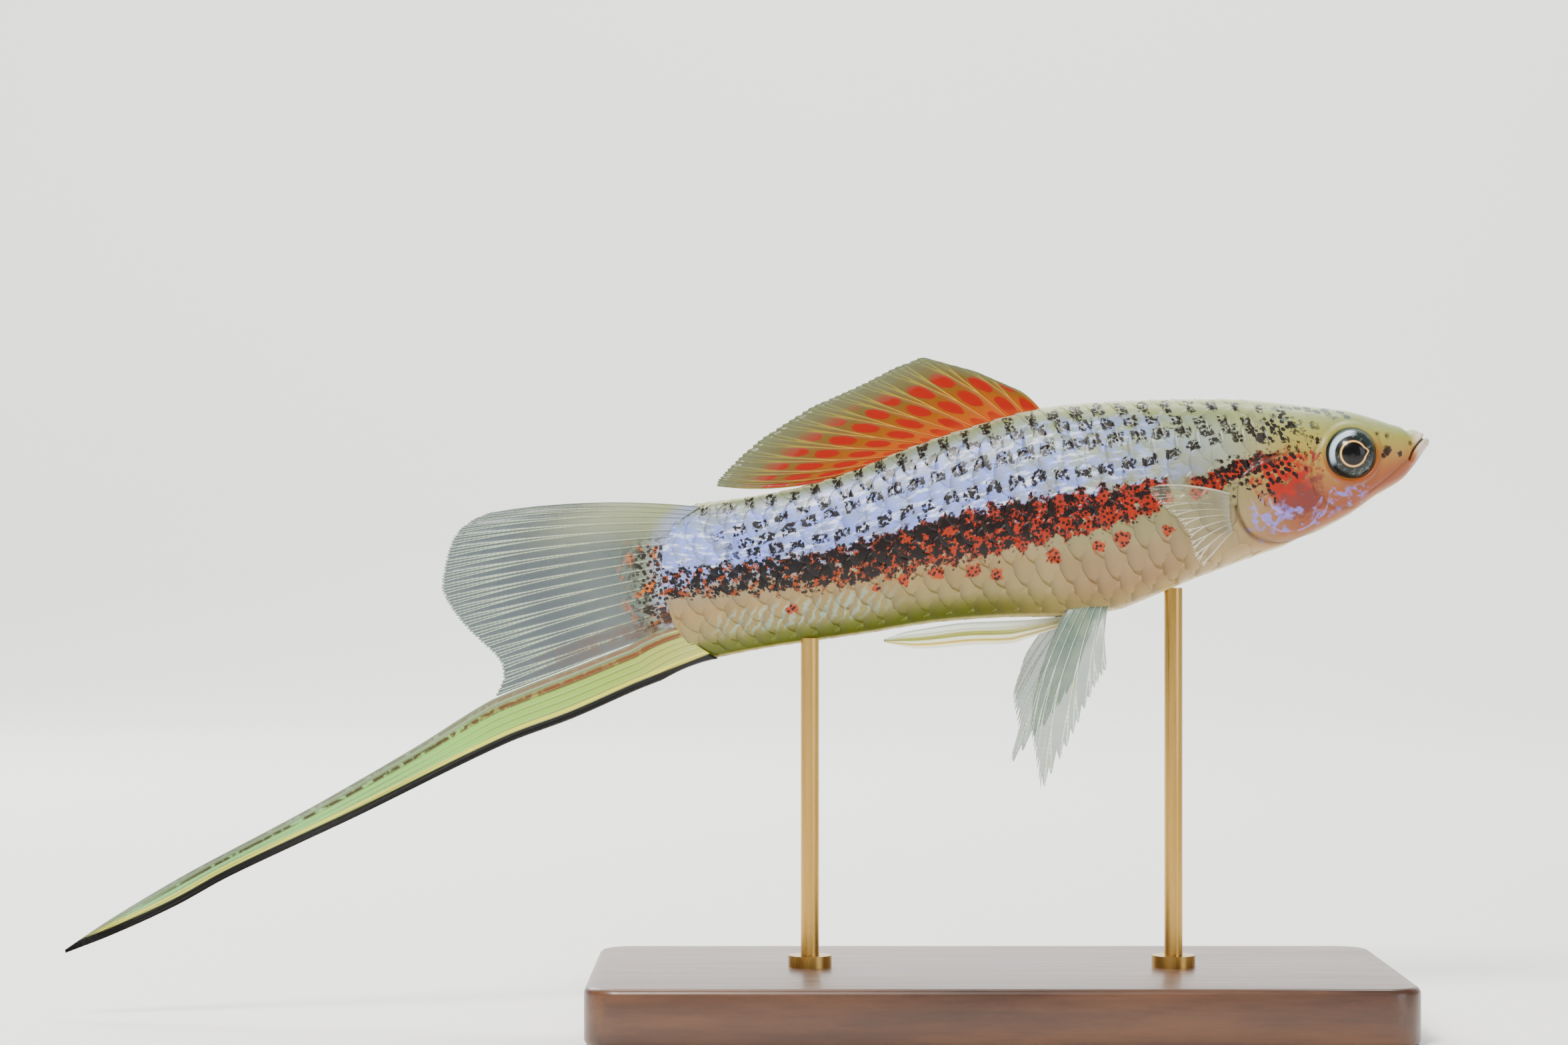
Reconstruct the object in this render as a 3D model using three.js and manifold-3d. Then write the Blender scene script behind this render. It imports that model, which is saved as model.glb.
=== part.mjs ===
import * as THREE from "three";
import { mergeVertices } from "three/addons/utils/BufferGeometryUtils.js";
import Module from "manifold-3d";

const wasm = await Module();
wasm.setup();

// A male swordtail as a still display model, life size, in millimetres, +Z up, head towards +X.
// The fish is drawn in its own straight frame first: u runs from the snout to the tail, v up
// towards the back and w towards the fish's left, and it is then tilted and set above the stand.

// Driving sizes
const BODY_TILT = (11 * Math.PI) / 180;
const SNOUT_X = 37.73;
const SNOUT_Z = 50.58;
const GAP = 0.3;
const TAIL_SWAY = 0.00045;
const SWAY_START = 40;

// Profiles of the body, each a short list of [u, value]
const TOP_LINE = [
  [0, 0.45], [0.4, 1.09], [1.1, 1.52], [1.6, 1.49], [2.0, 1.9], [3, 2.42], [4.1, 3.05],
  [6.2, 4.1], [8.5, 4.85], [11.8, 5.9], [15.2, 6.9], [18.6, 7.62], [24.3, 8.6], [30.1, 9.35],
  [33.5, 9.5], [39, 9.05], [44.5, 8.3], [49.5, 7.3], [54.3, 6.75], [60.2, 6.8], [68, 7.1],
];
const BOTTOM_LINE = [
  [0, -0.25], [0.7, -0.95], [1.4, -1.62], [2.8, -2.7], [5.4, -3.68], [8, -4.9], [10.5, -5.65],
  [14.2, -6.45], [17.9, -7.05], [22.8, -7.9], [26.5, -8.68], [29.3, -9.15], [33.6, -8.86],
  [39.4, -7.86], [45.2, -7.2], [51.1, -7.0], [59.9, -6.6], [68, -6.6],
];
const HALF_WIDTH = [
  [0, 0.75], [0.5, 1.35], [1.5, 1.85], [3, 2.4], [5, 2.95], [8, 3.6], [11, 4.1], [15, 4.55],
  [21, 4.75], [28, 4.6], [36, 3.8], [45, 2.85], [55, 2.05], [63, 1.35], [68, 0.85],
];
const WIDEST_AT = [
  [0, 0.15], [4, -0.1], [9, -0.5], [16, -1.2], [26, -1.2], [36, -0.5], [50, 0.2], [68, 0.2],
];
const ROUNDNESS_TOP = [[0, 2.4], [8, 2.5], [16, 2.1], [30, 1.9], [50, 1.85], [68, 2.2]];
const ROUNDNESS_BOTTOM = [[0, 2.2], [10, 2.1], [22, 2.2], [34, 2.0], [50, 1.9], [68, 2.2]];

// Smooth curve through a list of [x, value]
function through(list) {
  const slope = list.map((p, i) => {
    const a = list[Math.max(0, i - 1)];
    const b = list[Math.min(list.length - 1, i + 1)];
    return (b[1] - a[1]) / (b[0] - a[0]);
  });
  return (x) => {
    if (x <= list[0][0]) return list[0][1];
    const last = list.length - 1;
    if (x >= list[last][0]) return list[last][1];
    let i = 0;
    while (x > list[i + 1][0]) i += 1;
    const h = list[i + 1][0] - list[i][0];
    const t = (x - list[i][0]) / h;
    const a = list[i][1];
    const b = list[i + 1][1];
    const s = t * t * (3 - 2 * t);
    const m0 = t * (1 - t) * (1 - t) * slope[i] * h;
    const m1 = t * t * (1 - t) * slope[i + 1] * h;
    return a + (b - a) * s + m0 - m1;
  };
}

const topLine = through(TOP_LINE);
const bottomLine = through(BOTTOM_LINE);
const halfWidth = through(HALF_WIDTH);
const widestAt = through(WIDEST_AT);
const roundTop = through(ROUNDNESS_TOP);
const roundBottom = through(ROUNDNESS_BOTTOM);

// Height of the belly at u, a distance w off the middle
function bellyAt(u, w) {
  const n = roundBottom(u);
  const part = Math.pow(1 - Math.pow(Math.abs(w) / halfWidth(u), n), 1 / n);
  return widestAt(u) + (bottomLine(u) - widestAt(u)) * part;
}

// Half width of the body at u and height v
function sideAt(u, v) {
  const up = v > widestAt(u);
  const n = up ? roundTop(u) : roundBottom(u);
  const reach = (v - widestAt(u)) / ((up ? topLine(u) : bottomLine(u)) - widestAt(u));
  return halfWidth(u) * Math.pow(Math.max(0, 1 - Math.pow(Math.abs(reach), n)), 1 / n);
}

// A closed mesh from points and triangles, faces turned outwards
function closed(points, faces) {
  const p = points.map((q) => new THREE.Vector3(...q));
  let volume = 0;
  for (const [a, b, c] of faces) volume += p[a].dot(p[b].clone().cross(p[c]));
  const index = faces.flatMap(([a, b, c]) => (volume < 0 ? [a, c, b] : [a, b, c]));
  const geometry = new THREE.BufferGeometry();
  geometry.setAttribute("position", new THREE.Float32BufferAttribute(points.flat(), 3));
  geometry.setIndex(index);
  return geometry;
}

// A closed mesh through rings of equal count, with a middle point at each end
function throughRings(rings) {
  const n = rings[0].length;
  const points = rings.flat();
  const faces = [];
  for (let r = 0; r < rings.length - 1; r += 1) {
    for (let i = 0; i < n; i += 1) {
      const a = r * n + i;
      const b = r * n + ((i + 1) % n);
      faces.push([a, b, a + n], [b, b + n, a + n]);
    }
  }
  for (const [ring, start, turn] of [[rings[0], 0, 1], [rings.at(-1), (rings.length - 1) * n, -1]]) {
    const middle = [0, 1, 2].map((k) => ring.reduce((sum, q) => sum + q[k], 0) / n);
    points.push(middle);
    for (let i = 0; i < n; i += 1) {
      const a = start + i;
      const b = start + ((i + 1) % n);
      faces.push(turn > 0 ? [points.length - 1, b, a] : [points.length - 1, a, b]);
    }
  }
  return closed(points, faces);
}

// Conversions to and from the solids that are joined and cut
function toSolid(geometry) {
  const bare = geometry.clone();
  bare.deleteAttribute("normal");
  bare.deleteAttribute("uv");
  const merged = mergeVertices(bare, 1e-4);
  return new wasm.Manifold(
    new wasm.Mesh({
      numProp: 3,
      vertProperties: merged.attributes.position.array,
      triVerts: new Uint32Array(merged.index.array),
    }),
  );
}

function fromSolid(solid) {
  const largest = solid.decompose().sort((a, b) => b.volume() - a.volume())[0];
  const mesh = largest.getMesh();
  const geometry = new THREE.BufferGeometry();
  const points = [];
  for (let i = 0; i < mesh.numVert; i += 1) {
    points.push(...mesh.vertProperties.slice(i * mesh.numProp, i * mesh.numProp + 3));
  }
  geometry.setAttribute("position", new THREE.Float32BufferAttribute(points, 3));
  geometry.setIndex([...mesh.triVerts]);
  return geometry;
}

// Straight prism across the fish on an outline in u and v, from w0 to w1
function prism(outline, w0, w1) {
  const shape = new THREE.Shape(outline.map(([u, v]) => new THREE.Vector2(u, v)));
  const geometry = new THREE.ExtrudeGeometry(shape, { depth: w1 - w0, bevelEnabled: false });
  geometry.translate(0, 0, w0);
  return toSolid(geometry);
}

// Outline moved outwards by a distance, away from its own middle
function grown(outline, by) {
  const n = outline.length;
  let area = 0;
  outline.forEach(([x, y], i) => {
    const [a, b] = outline[(i + 1) % n];
    area += x * b - a * y;
  });
  const turn = Math.sign(area);
  return outline.map(([x, y], i) => {
    const [x0, y0] = outline[(i + n - 1) % n];
    const [x1, y1] = outline[(i + 1) % n];
    const side = new THREE.Vector2(y1 - y0, x0 - x1).normalize();
    return [x + side.x * by * turn, y + side.y * by * turn];
  });
}

// Body: one long loft, wide and flat over the snout, deep in the trunk, thin at the tail
const BODY_STATIONS = [
  0, 0.2, 0.4, 0.75, 1.1, 1.4, 1.65, 2, 2.5, 3.1, 3.8, 4.6, 5.5, 6.5, 7.5, 8.6, 9.8, 11, 12.3,
  13.6, 15, 16.5, 18, 19.6, 21.4, 23.4, 25.5, 27.6, 29.3, 31, 33, 35.2, 37.5, 40, 42.6, 45.3,
  48, 51, 54, 57, 60, 62.6, 65, 66.6, 68,
];
const BODY_ROUND = 36;

function body(inset) {
  const rings = BODY_STATIONS.map((u) => {
    const middle = widestAt(u);
    const ring = [];
    for (let i = 0; i < BODY_ROUND; i += 1) {
      const a = (i / BODY_ROUND) * Math.PI * 2;
      const up = Math.sin(a) >= 0;
      const n = up ? roundTop(u) : roundBottom(u);
      const reach = Math.abs((up ? topLine(u) : bottomLine(u)) - middle) - inset;
      const c = Math.sign(Math.cos(a)) * Math.pow(Math.abs(Math.cos(a)), 2 / n);
      const s = Math.sign(Math.sin(a)) * Math.pow(Math.abs(Math.sin(a)), 2 / n);
      const at = u === 0 ? inset : u;
      ring.push([at, middle + Math.max(reach, 0.05) * s, Math.max(halfWidth(u) - inset, 0.05) * c]);
    }
    return ring;
  });
  return toSolid(throughRings(rings));
}

// Lines where one named region of the body ends and the next begins
const GILL_LINE = [
  [13.6, 12], [14.2, 6], [15.0, 3.2], [16.9, 1.4], [17.7, -1.0], [17.8, -3.0], [17.0, -4.9],
  [15.2, -6.0], [13.2, -6.6], [12.4, -12],
];
const TAIL_SPLIT = 50.6;
const BODY_END = [
  [63.2, 12], [63.5, 7.0], [65.6, 5.9], [66.8, 4], [67.3, 2], [67.5, -0.5], [67.2, -3],
  [66.4, -5], [64.8, -6.6], [64.4, -12],
];

const wholeBody = body(0);
const headRegion = prism([[-3, -12], ...[...GILL_LINE].reverse(), [-3, 12]], -9, 9);
const trunkRegion = prism(
  [...GILL_LINE.map(([u, v]) => [u + GAP, v]), [TAIL_SPLIT, -12], [TAIL_SPLIT, 12]], -9, 9,
);
const tailRegion = prism(
  [[TAIL_SPLIT + GAP, 12], ...BODY_END, [TAIL_SPLIT + GAP, -12]], -9, 9,
);

// Gill covers: a thin plate over each side of the head, behind the cheek
const GILL_COVER = [
  [11.3, 0.5], [13.2, 1.35], [15.4, 1.2], [16.7, 0.6], [17.45, -1.1], [17.55, -3.0],
  [16.8, -4.7], [15.2, -5.65], [13.4, -5.75], [11.7, -4.9], [10.8, -3.2], [10.6, -1.2],
];
const COVER_THICK = 0.75;
const COVER_PROUD = 0.12;

function gillCover(side) {
  const w = side > 0 ? [1.2, 9] : [-9, -1.2];
  return body(-COVER_PROUD).intersect(prism(GILL_COVER, ...w)).subtract(body(COVER_THICK));
}

function gillPocket(side) {
  const w = side > 0 ? [0.9, 9] : [-9, -0.9];
  return prism(grown(GILL_COVER, GAP), ...w).subtract(body(COVER_THICK + GAP));
}

// Eyes: a bulging lens over a wide iris, set in a round socket with a raised rim
const EYE_AT = [7.0, 0.46];
const EYE_RADIUS = 2.2;
const EYE_DEPTH = 1.6;
const EYE_OUT = 2.5;
const EYE_PROFILE = [
  [0, -1], [0.6, -0.8], [0.93, -0.35], [1, 0.05], [0.92, 0.38], [0.74, 0.64], [0.52, 0.79],
  [0.42, 0.84], [0.36, 0.95], [0, 1.02],
];

function eye(side, more) {
  const points = EYE_PROFILE.map(([r, d]) => {
    const radius = r === 0 ? 0 : r * EYE_RADIUS + more * Math.min(1, r * 2);
    return new THREE.Vector2(radius, d * EYE_DEPTH + more * Math.sign(d) * (1 - r * 0.5));
  });
  const geometry = new THREE.LatheGeometry(points, 24);
  geometry.rotateX((side * Math.PI) / 2);
  geometry.translate(EYE_AT[0], EYE_AT[1], side * EYE_OUT);
  return geometry;
}

function eyeRim(side) {
  const ring = new THREE.TorusGeometry(EYE_RADIUS + 0.42, 0.26, 6, 24);
  ring.rotateY(side * -0.12);
  ring.translate(EYE_AT[0], EYE_AT[1], side * (sideAt(EYE_AT[0], EYE_AT[1]) - 0.08));
  return toSolid(ring);
}

// Nostrils: two small pits on each side of the snout, ahead of the eye
const NOSTRILS = [[3.5, 1.35, 0.26], [4.35, 1.7, 0.2]];

function nostrils(side) {
  return NOSTRILS.map(([u, v, r]) => {
    const pit = new THREE.SphereGeometry(r, 10, 8);
    pit.scale(1, 1.3, 2.2);
    pit.translate(u, v, side * (sideAt(u, v) + 0.05));
    return toSolid(pit);
  });
}

// Lower jaw: the front of the underside, parted from the upper lip by the line of the mouth
const MOUTH_LINE = [[-3, 1.15], [0.2, 0.55], [0.9, 0.2], [1.6, -0.35], [2.1, -1.0]];
const JAW = [...MOUTH_LINE, [3.4, -1.75], [4.6, -2.6], [5.2, -4.2], [5.2, -9], [-3, -9]];

const lowerJaw = wholeBody.intersect(prism(JAW, -9, 9));
const jawRoom = prism(grown(JAW, GAP), -9, 9);

let head = wholeBody.intersect(headRegion);
for (const side of [1, -1]) head = head.add(eyeRim(side));
head = head.subtract(jawRoom);
for (const side of [1, -1]) {
  head = head.subtract(toSolid(eye(side, GAP))).subtract(gillPocket(side));
  for (const pit of nostrils(side)) head = head.subtract(pit);
}

// Fins: one thin closed sheet each. Both faces share one triangulation; every ray is a ridge
// raised in the sheet's own surface, forked once on its way to the edge.
function finColumns(rays, fork) {
  const columns = [];
  for (let k = 0; k < rays; k += 1) {
    const spread = (t) => 0.13 + 0.15 * Math.min(1, Math.max(0, (t - fork) / (1 - fork)));
    if (k > 0) columns.push({ at: (t) => k - spread(t), crest: () => 1 });
    columns.push({ at: () => k, crest: (t) => (t > fork ? 0.35 : 1) });
    if (k < rays - 1) {
      columns.push({ at: (t) => k + spread(t), crest: () => 1 });
      columns.push({ at: () => k + 0.5, crest: () => 0 });
    }
  }
  return columns;
}

function fin({ rays, fork, steps, place, thin, thick, normal }) {
  const columns = finColumns(rays, fork);
  const front = [];
  const back = [];
  columns.forEach((column) => {
    steps.forEach((t) => {
      const crest = column.crest(t);
      const notch = t * t * (crest > 0.9 ? 0 : 0.012);
      const q = place(column.at(t) / (rays - 1), Math.max(0, t - notch));
      const half = thin(t) + (thick(t) - thin(t)) * crest;
      front.push(q.map((x, i) => x + normal[i] * half));
      back.push(q.map((x, i) => x - normal[i] * half));
    });
  });
  const rows = steps.length;
  const offset = front.length;
  const at = (c, r) => c * rows + r;
  const faces = [];
  for (let c = 0; c < columns.length - 1; c += 1) {
    for (let r = 0; r < rows - 1; r += 1) {
      const [a, b, d, e] = [at(c, r), at(c + 1, r), at(c, r + 1), at(c + 1, r + 1)];
      faces.push([a, b, d], [b, e, d]);
      faces.push([offset + a, offset + d, offset + b], [offset + b, offset + d, offset + e]);
    }
  }
  const rim = [];
  for (let c = 0; c < columns.length - 1; c += 1) rim.push(at(c, 0));
  for (let r = 0; r < rows - 1; r += 1) rim.push(at(columns.length - 1, r));
  for (let c = columns.length - 1; c > 0; c -= 1) rim.push(at(c, rows - 1));
  for (let r = rows - 1; r > 0; r -= 1) rim.push(at(0, r));
  rim.forEach((a, i) => {
    const b = rim[(i + 1) % rim.length];
    faces.push([a, offset + a, b], [b, offset + a, offset + b]);
  });
  return closed([...front, ...back], faces);
}

// Value at a fraction s along a list of points, straight between them
function along(list, s) {
  const x = Math.min(Math.max(s, 0), 1) * (list.length - 1);
  const i = Math.min(Math.floor(x), list.length - 2);
  return list[i].map((a, k) => a + (list[i + 1][k] - a) * (x - i));
}

// A ray from root to tip, bowed to one side by a share of its length
function ray(root, tip, bow, t) {
  const du = tip[0] - root[0];
  const dv = tip[1] - root[1];
  const push = 4 * t * (1 - t) * bow;
  return [root[0] + du * t - dv * push, root[1] + dv * t + du * push];
}

function even(count) {
  return Array.from({ length: count + 1 }, (_, i) => i / count);
}

// Dorsal fin: thirteen rays from the middle of the back, swept towards the tail
const DORSAL_START = 32.4;
const DORSAL_END = 50.2;
const DORSAL_TIPS = [
  [33.9, 11.35], [37.4, 13.75], [41.7, 15.85], [44.4, 15.35], [46.9, 14.6], [49.4, 14.0],
  [51.9, 13.45], [54.4, 12.5], [56.9, 11.5], [58.9, 10.35], [60.4, 9.35], [61.3, 8.65],
  [61.5, 8.2],
];

function dorsalPlace(s, t) {
  const u = DORSAL_START + (DORSAL_END - DORSAL_START) * s;
  const root = [u, topLine(u) + GAP];
  return [...ray(root, along(DORSAL_TIPS, s), 0.05 - 0.105 * s, t), 0];
}

const dorsal = fin({
  rays: 13, fork: 0.45, steps: even(7), place: dorsalPlace, normal: [0, 0, 1],
  thin: (t) => 0.3 - 0.06 * t, thick: (t) => 0.52 - 0.26 * t,
});

// Caudal fin: a broad fan of forked rays from the end of the body, above the sword
const CAUDAL_ROOTS = [
  [64.25, 7.02], [65.95, 6.15], [67.2, 4.15], [67.7, 2.05], [67.88, -0.5], [67.65, -2.75],
];
const CAUDAL_TIPS = [
  [79.6, 9.65], [81.6, 9.7], [83.0, 9.4], [84.3, 8.8], [85.1, 8.0], [85.7, 7.0], [86.2, 5.9],
  [86.6, 4.9], [86.85, 3.9], [86.6, 2.8], [86.2, 1.8], [85.7, 0.8], [85.0, -0.3], [84.2, -1.4],
  [83.4, -2.45], [82.9, -3.5], [82.9, -4.7], [83.7, -5.75],
];

function caudalPlace(s, t) {
  return [...ray(along(CAUDAL_ROOTS, s), along(CAUDAL_TIPS, s), 0.03 * (1 - s), t), 0];
}

const caudal = fin({
  rays: 18, fork: 0.4, steps: even(7), place: caudalPlace, normal: [0, 0, 1],
  thin: (t) => 0.28 + 0.35 * Math.pow(1 - t, 5) - 0.05 * t,
  thick: (t) => 0.42 + 0.35 * Math.pow(1 - t, 4) - 0.16 * t,
});

// Sword: the lowest rays of the caudal fin, drawn out into a long tapering blade
const SWORD_TOP = through([
  [67.5, -3.25], [75.6, -4.75], [83.9, -6.3], [86.6, -7.2], [91.2, -9.0], [100.2, -12.15],
  [105.4, -13.8], [113.9, -16.4], [121.2, -19.04], [125.7, -20.95],
]);
const SWORD_BOTTOM = through([
  [65.2, -6.8], [68.9, -7.45], [71.7, -7.97], [77.6, -9.32], [84, -10.44], [97.9, -14.19],
  [103.5, -15.6], [110.3, -17.36], [115.1, -18.91], [120.9, -20.33], [125.6, -21.2],
]);
const SWORD_ROOTS = [[67.55, -3.3], [67.1, -4.4], [66.75, -5.2], [65.2, -6.8]];
const SWORD_TIP = 125.6;

function swordPlace(s, t) {
  const root = along(SWORD_ROOTS, s);
  const u = root[0] + (SWORD_TIP - root[0]) * t;
  const blend = Math.min(1, t * 12);
  const drawn = SWORD_TOP(u) + (SWORD_BOTTOM(u) - SWORD_TOP(u)) * s;
  return [u, root[1] * (1 - blend) + drawn * blend, 0];
}

const sword = fin({
  rays: 6, fork: 0.3, steps: even(15), place: swordPlace, normal: [0, 0, 1],
  thin: (t) => 0.28 + 0.35 * Math.pow(1 - t, 12) - 0.03 * t,
  thick: (t) => 0.45 + 0.3 * Math.pow(1 - t, 10) - 0.15 * t,
});

// Pectoral fins: small clear fans on the flanks, just behind the gill covers
const PECTORAL_ROOTS = [[18.55, -0.9], [18.8, -2.0], [18.95, -3.1], [18.9, -4.2]];
const PECTORAL_TIPS = [
  [24.2, 1.0], [25.2, 0.95], [25.0, 0.1], [24.3, -0.75], [23.5, -1.6], [22.9, -2.5],
  [22.4, -3.6], [22.3, -4.7], [22.2, -5.8], [21.6, -6.7],
];
const PECTORAL_FLARE = 0.36;

function pectoral(side) {
  return fin({
    rays: 8, fork: 0.5, steps: even(6), normal: [-0.3, 0, side * 0.95],
    place: (s, t) => {
      const root = along(PECTORAL_ROOTS, s);
      const [u, v] = ray(root, along(PECTORAL_TIPS, s), 0.04, t);
      const out = sideAt(root[0], root[1]) + GAP + 0.4 + PECTORAL_FLARE * (u - root[0]);
      return [u, v, side * (out - 0.25 * t * t)];
    },
    thin: (t) => 0.27 - 0.04 * t,
    thick: (t) => 0.42 - 0.17 * t,
  });
}

// Pelvic fins: a pair under the belly, each with one long drawn-out ray
const PELVIC_RIGHT = [
  [31.3, -13.7], [32.9, -15.4], [35.6, -19.2], [39.0, -23.2], [38.9, -20.1], [38.9, -17.8],
  [38.2, -15.2],
];
const PELVIC_LEFT = [
  [33.6, -14.6], [36.6, -17.6], [41.0, -21.1], [39.4, -17.9], [39.5, -16.0], [39.4, -14.8],
  [37.8, -11.8],
];
const PELVIC_OUT = 1.25;

function pelvic(side, tips) {
  return fin({
    rays: 7, fork: 0.5, steps: even(8), normal: [0, 0.1, side * 0.99],
    place: (s, t) => {
      const u = 29.9 + 3.4 * s;
      const root = [u, bellyAt(u, PELVIC_OUT + 0.35) - GAP - 0.12];
      const [x, y] = ray(root, along(tips, s), 0.05, t);
      return [x, y, side * (PELVIC_OUT + 2.6 * t + 0.25 * Math.sin(s * Math.PI))];
    },
    thin: (t) => 0.27 - 0.03 * t,
    thick: (t) => 0.42 - 0.16 * t,
  });
}

// Gonopodium: the male's anal fin, a narrow pointed rod held back under the belly
const GONO_TOP = through([
  [34.3, -9.2], [36.6, -8.78], [39.4, -8.22], [42.8, -7.68], [45.2, -7.56], [47.8, -7.5],
  [49.7, -7.7],
]);
const GONO_BOTTOM = through([
  [34.9, -9.75], [37.4, -10.0], [38.9, -10.15], [42.1, -9.65], [46.7, -9.1], [49.1, -8.25],
  [49.7, -7.95],
]);

const gonopodium = fin({
  rays: 4, fork: 0.95, steps: even(10), normal: [0, 0, 1],
  place: (s, t) => {
    const u = 34.4 + 0.5 * s + (15.3 - 0.5 * s) * t;
    return [u, GONO_TOP(u) + (GONO_BOTTOM(u) - GONO_TOP(u)) * s, 0];
  },
  thin: (t) => 0.42 - 0.16 * t,
  thick: (t) => 0.62 - 0.32 * t,
});

// The fish's frame into the stand's: the tail sways a little to the left, the body tilts
function seat(geometry) {
  const p = geometry.attributes.position;
  for (let i = 0; i < p.count; i += 1) {
    const u = p.getX(i);
    const v = p.getY(i);
    const past = Math.max(0, u - SWAY_START);
    const w = p.getZ(i) + TAIL_SWAY * past * past;
    p.setXYZ(
      i,
      SNOUT_X - u * Math.cos(BODY_TILT) - v * Math.sin(BODY_TILT),
      w,
      SNOUT_Z - u * Math.sin(BODY_TILT) + v * Math.cos(BODY_TILT),
    );
  }
  return geometry;
}

// Stand: a flat base with eased edges and two upright rods under the belly
const BASE_LENGTH = 70;
const BASE_WIDTH = 34;
const BASE_HEIGHT = 5;
const BASE_CORNER = 3;
const BASE_BEVEL = 0.6;
const ROD_RADIUS = 0.8;
const ROD_AT = [15.7, -16];
const HOLE_DEPTH = 3;

function roundedBox(length, width, corner) {
  const [x, y] = [length / 2, width / 2];
  const shape = new THREE.Shape();
  shape.moveTo(-x + corner, -y);
  shape.lineTo(x - corner, -y);
  shape.absarc(x - corner, -y + corner, corner, -Math.PI / 2, 0, false);
  shape.lineTo(x, y - corner);
  shape.absarc(x - corner, y - corner, corner, 0, Math.PI / 2, false);
  shape.lineTo(-x + corner, y);
  shape.absarc(-x + corner, y - corner, corner, Math.PI / 2, Math.PI, false);
  shape.lineTo(-x, -y + corner);
  shape.absarc(-x + corner, -y + corner, corner, Math.PI, Math.PI * 1.5, false);
  return shape;
}

function upright(radius, x, z0, z1) {
  const geometry = new THREE.CylinderGeometry(radius, radius, z1 - z0, 20);
  geometry.rotateX(Math.PI / 2);
  geometry.translate(x, 0, (z0 + z1) / 2);
  return toSolid(geometry);
}

const slab = new THREE.ExtrudeGeometry(
  roundedBox(BASE_LENGTH - 2 * BASE_BEVEL, BASE_WIDTH - 2 * BASE_BEVEL, BASE_CORNER),
  {
    depth: BASE_HEIGHT - 2 * BASE_BEVEL, bevelSize: BASE_BEVEL, bevelThickness: BASE_BEVEL,
    bevelSegments: 1, curveSegments: 5,
  },
);
slab.translate(0, 0, BASE_BEVEL);
let base = toSolid(slab);
for (const x of ROD_AT) {
  base = base.subtract(upright(ROD_RADIUS + GAP, x, BASE_HEIGHT - HOLE_DEPTH, BASE_HEIGHT + 2));
}

const clearance = toSolid(seat(fromSolid(body(-GAP))));
function rod(x) {
  return upright(ROD_RADIUS, x, BASE_HEIGHT - HOLE_DEPTH + GAP, 52).subtract(clearance)
    .decompose().sort((a, b) => a.boundingBox().min[2] - b.boundingBox().min[2])[0];
}

// The model: every piece named, with its own colour
const group = new THREE.Group();

function piece(name, geometry, color, roughness, metalness = 0) {
  geometry.computeVertexNormals();
  const material = new THREE.MeshStandardMaterial({ color, roughness, metalness });
  const mesh = new THREE.Mesh(geometry, material);
  mesh.name = name;
  group.add(mesh);
}

const SIDES = [["right", -1], ["left", 1]];
piece("head", seat(fromSolid(head)), "#c9bd8e", 0.45);
piece("lower_jaw", seat(fromSolid(lowerJaw)), "#d6cdb0", 0.45);
piece("trunk", seat(fromSolid(wholeBody.intersect(trunkRegion))), "#c8b98a", 0.4);
piece("tail", seat(fromSolid(wholeBody.intersect(tailRegion))), "#b7b39a", 0.4);
piece("dorsal_fin", seat(dorsal), "#c9b15c", 0.4);
piece("caudal_fin", seat(caudal), "#9fa898", 0.4);
piece("sword", seat(sword), "#b8cf86", 0.4);
piece("gonopodium", seat(gonopodium), "#cdd6bd", 0.4);
for (const [word, side] of SIDES) {
  piece(`gill_cover_${word}`, seat(fromSolid(gillCover(side))), "#c9a58a", 0.35);
  piece(`eye_${word}`, seat(eye(side, 0)), "#2b3330", 0.1);
  piece(`pectoral_fin_${word}`, seat(pectoral(side)), "#c9cdbf", 0.35);
  const tips = side < 0 ? PELVIC_RIGHT : PELVIC_LEFT;
  piece(`pelvic_fin_${word}`, seat(pelvic(side, tips)), "#c4cdbd", 0.35);
}
piece("stand_base", fromSolid(base), "#4a2f1e", 0.35);
piece("stand_rod_front", fromSolid(rod(ROD_AT[0])), "#b08d4c", 0.3, 1);
piece("stand_rod_rear", fromSolid(rod(ROD_AT[1])), "#b08d4c", 0.3, 1);

export default group;
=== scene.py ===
import math

import bpy
import numpy as np
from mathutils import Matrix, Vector


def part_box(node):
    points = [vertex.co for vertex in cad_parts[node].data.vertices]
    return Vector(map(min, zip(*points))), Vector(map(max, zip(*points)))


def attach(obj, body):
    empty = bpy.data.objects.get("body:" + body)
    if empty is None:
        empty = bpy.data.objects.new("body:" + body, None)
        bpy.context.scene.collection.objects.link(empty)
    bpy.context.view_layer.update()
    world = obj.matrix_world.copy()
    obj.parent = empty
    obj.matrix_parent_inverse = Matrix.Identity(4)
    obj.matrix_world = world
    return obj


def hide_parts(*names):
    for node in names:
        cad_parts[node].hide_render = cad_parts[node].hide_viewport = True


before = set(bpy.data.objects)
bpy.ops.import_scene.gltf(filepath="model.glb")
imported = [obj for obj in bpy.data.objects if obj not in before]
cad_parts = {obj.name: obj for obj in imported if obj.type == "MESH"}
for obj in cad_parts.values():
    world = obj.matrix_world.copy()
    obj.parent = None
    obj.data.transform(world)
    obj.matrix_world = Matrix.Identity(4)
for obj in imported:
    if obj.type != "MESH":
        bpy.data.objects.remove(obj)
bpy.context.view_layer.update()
bpy.ops.object.select_all(action="DESELECT")


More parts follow.
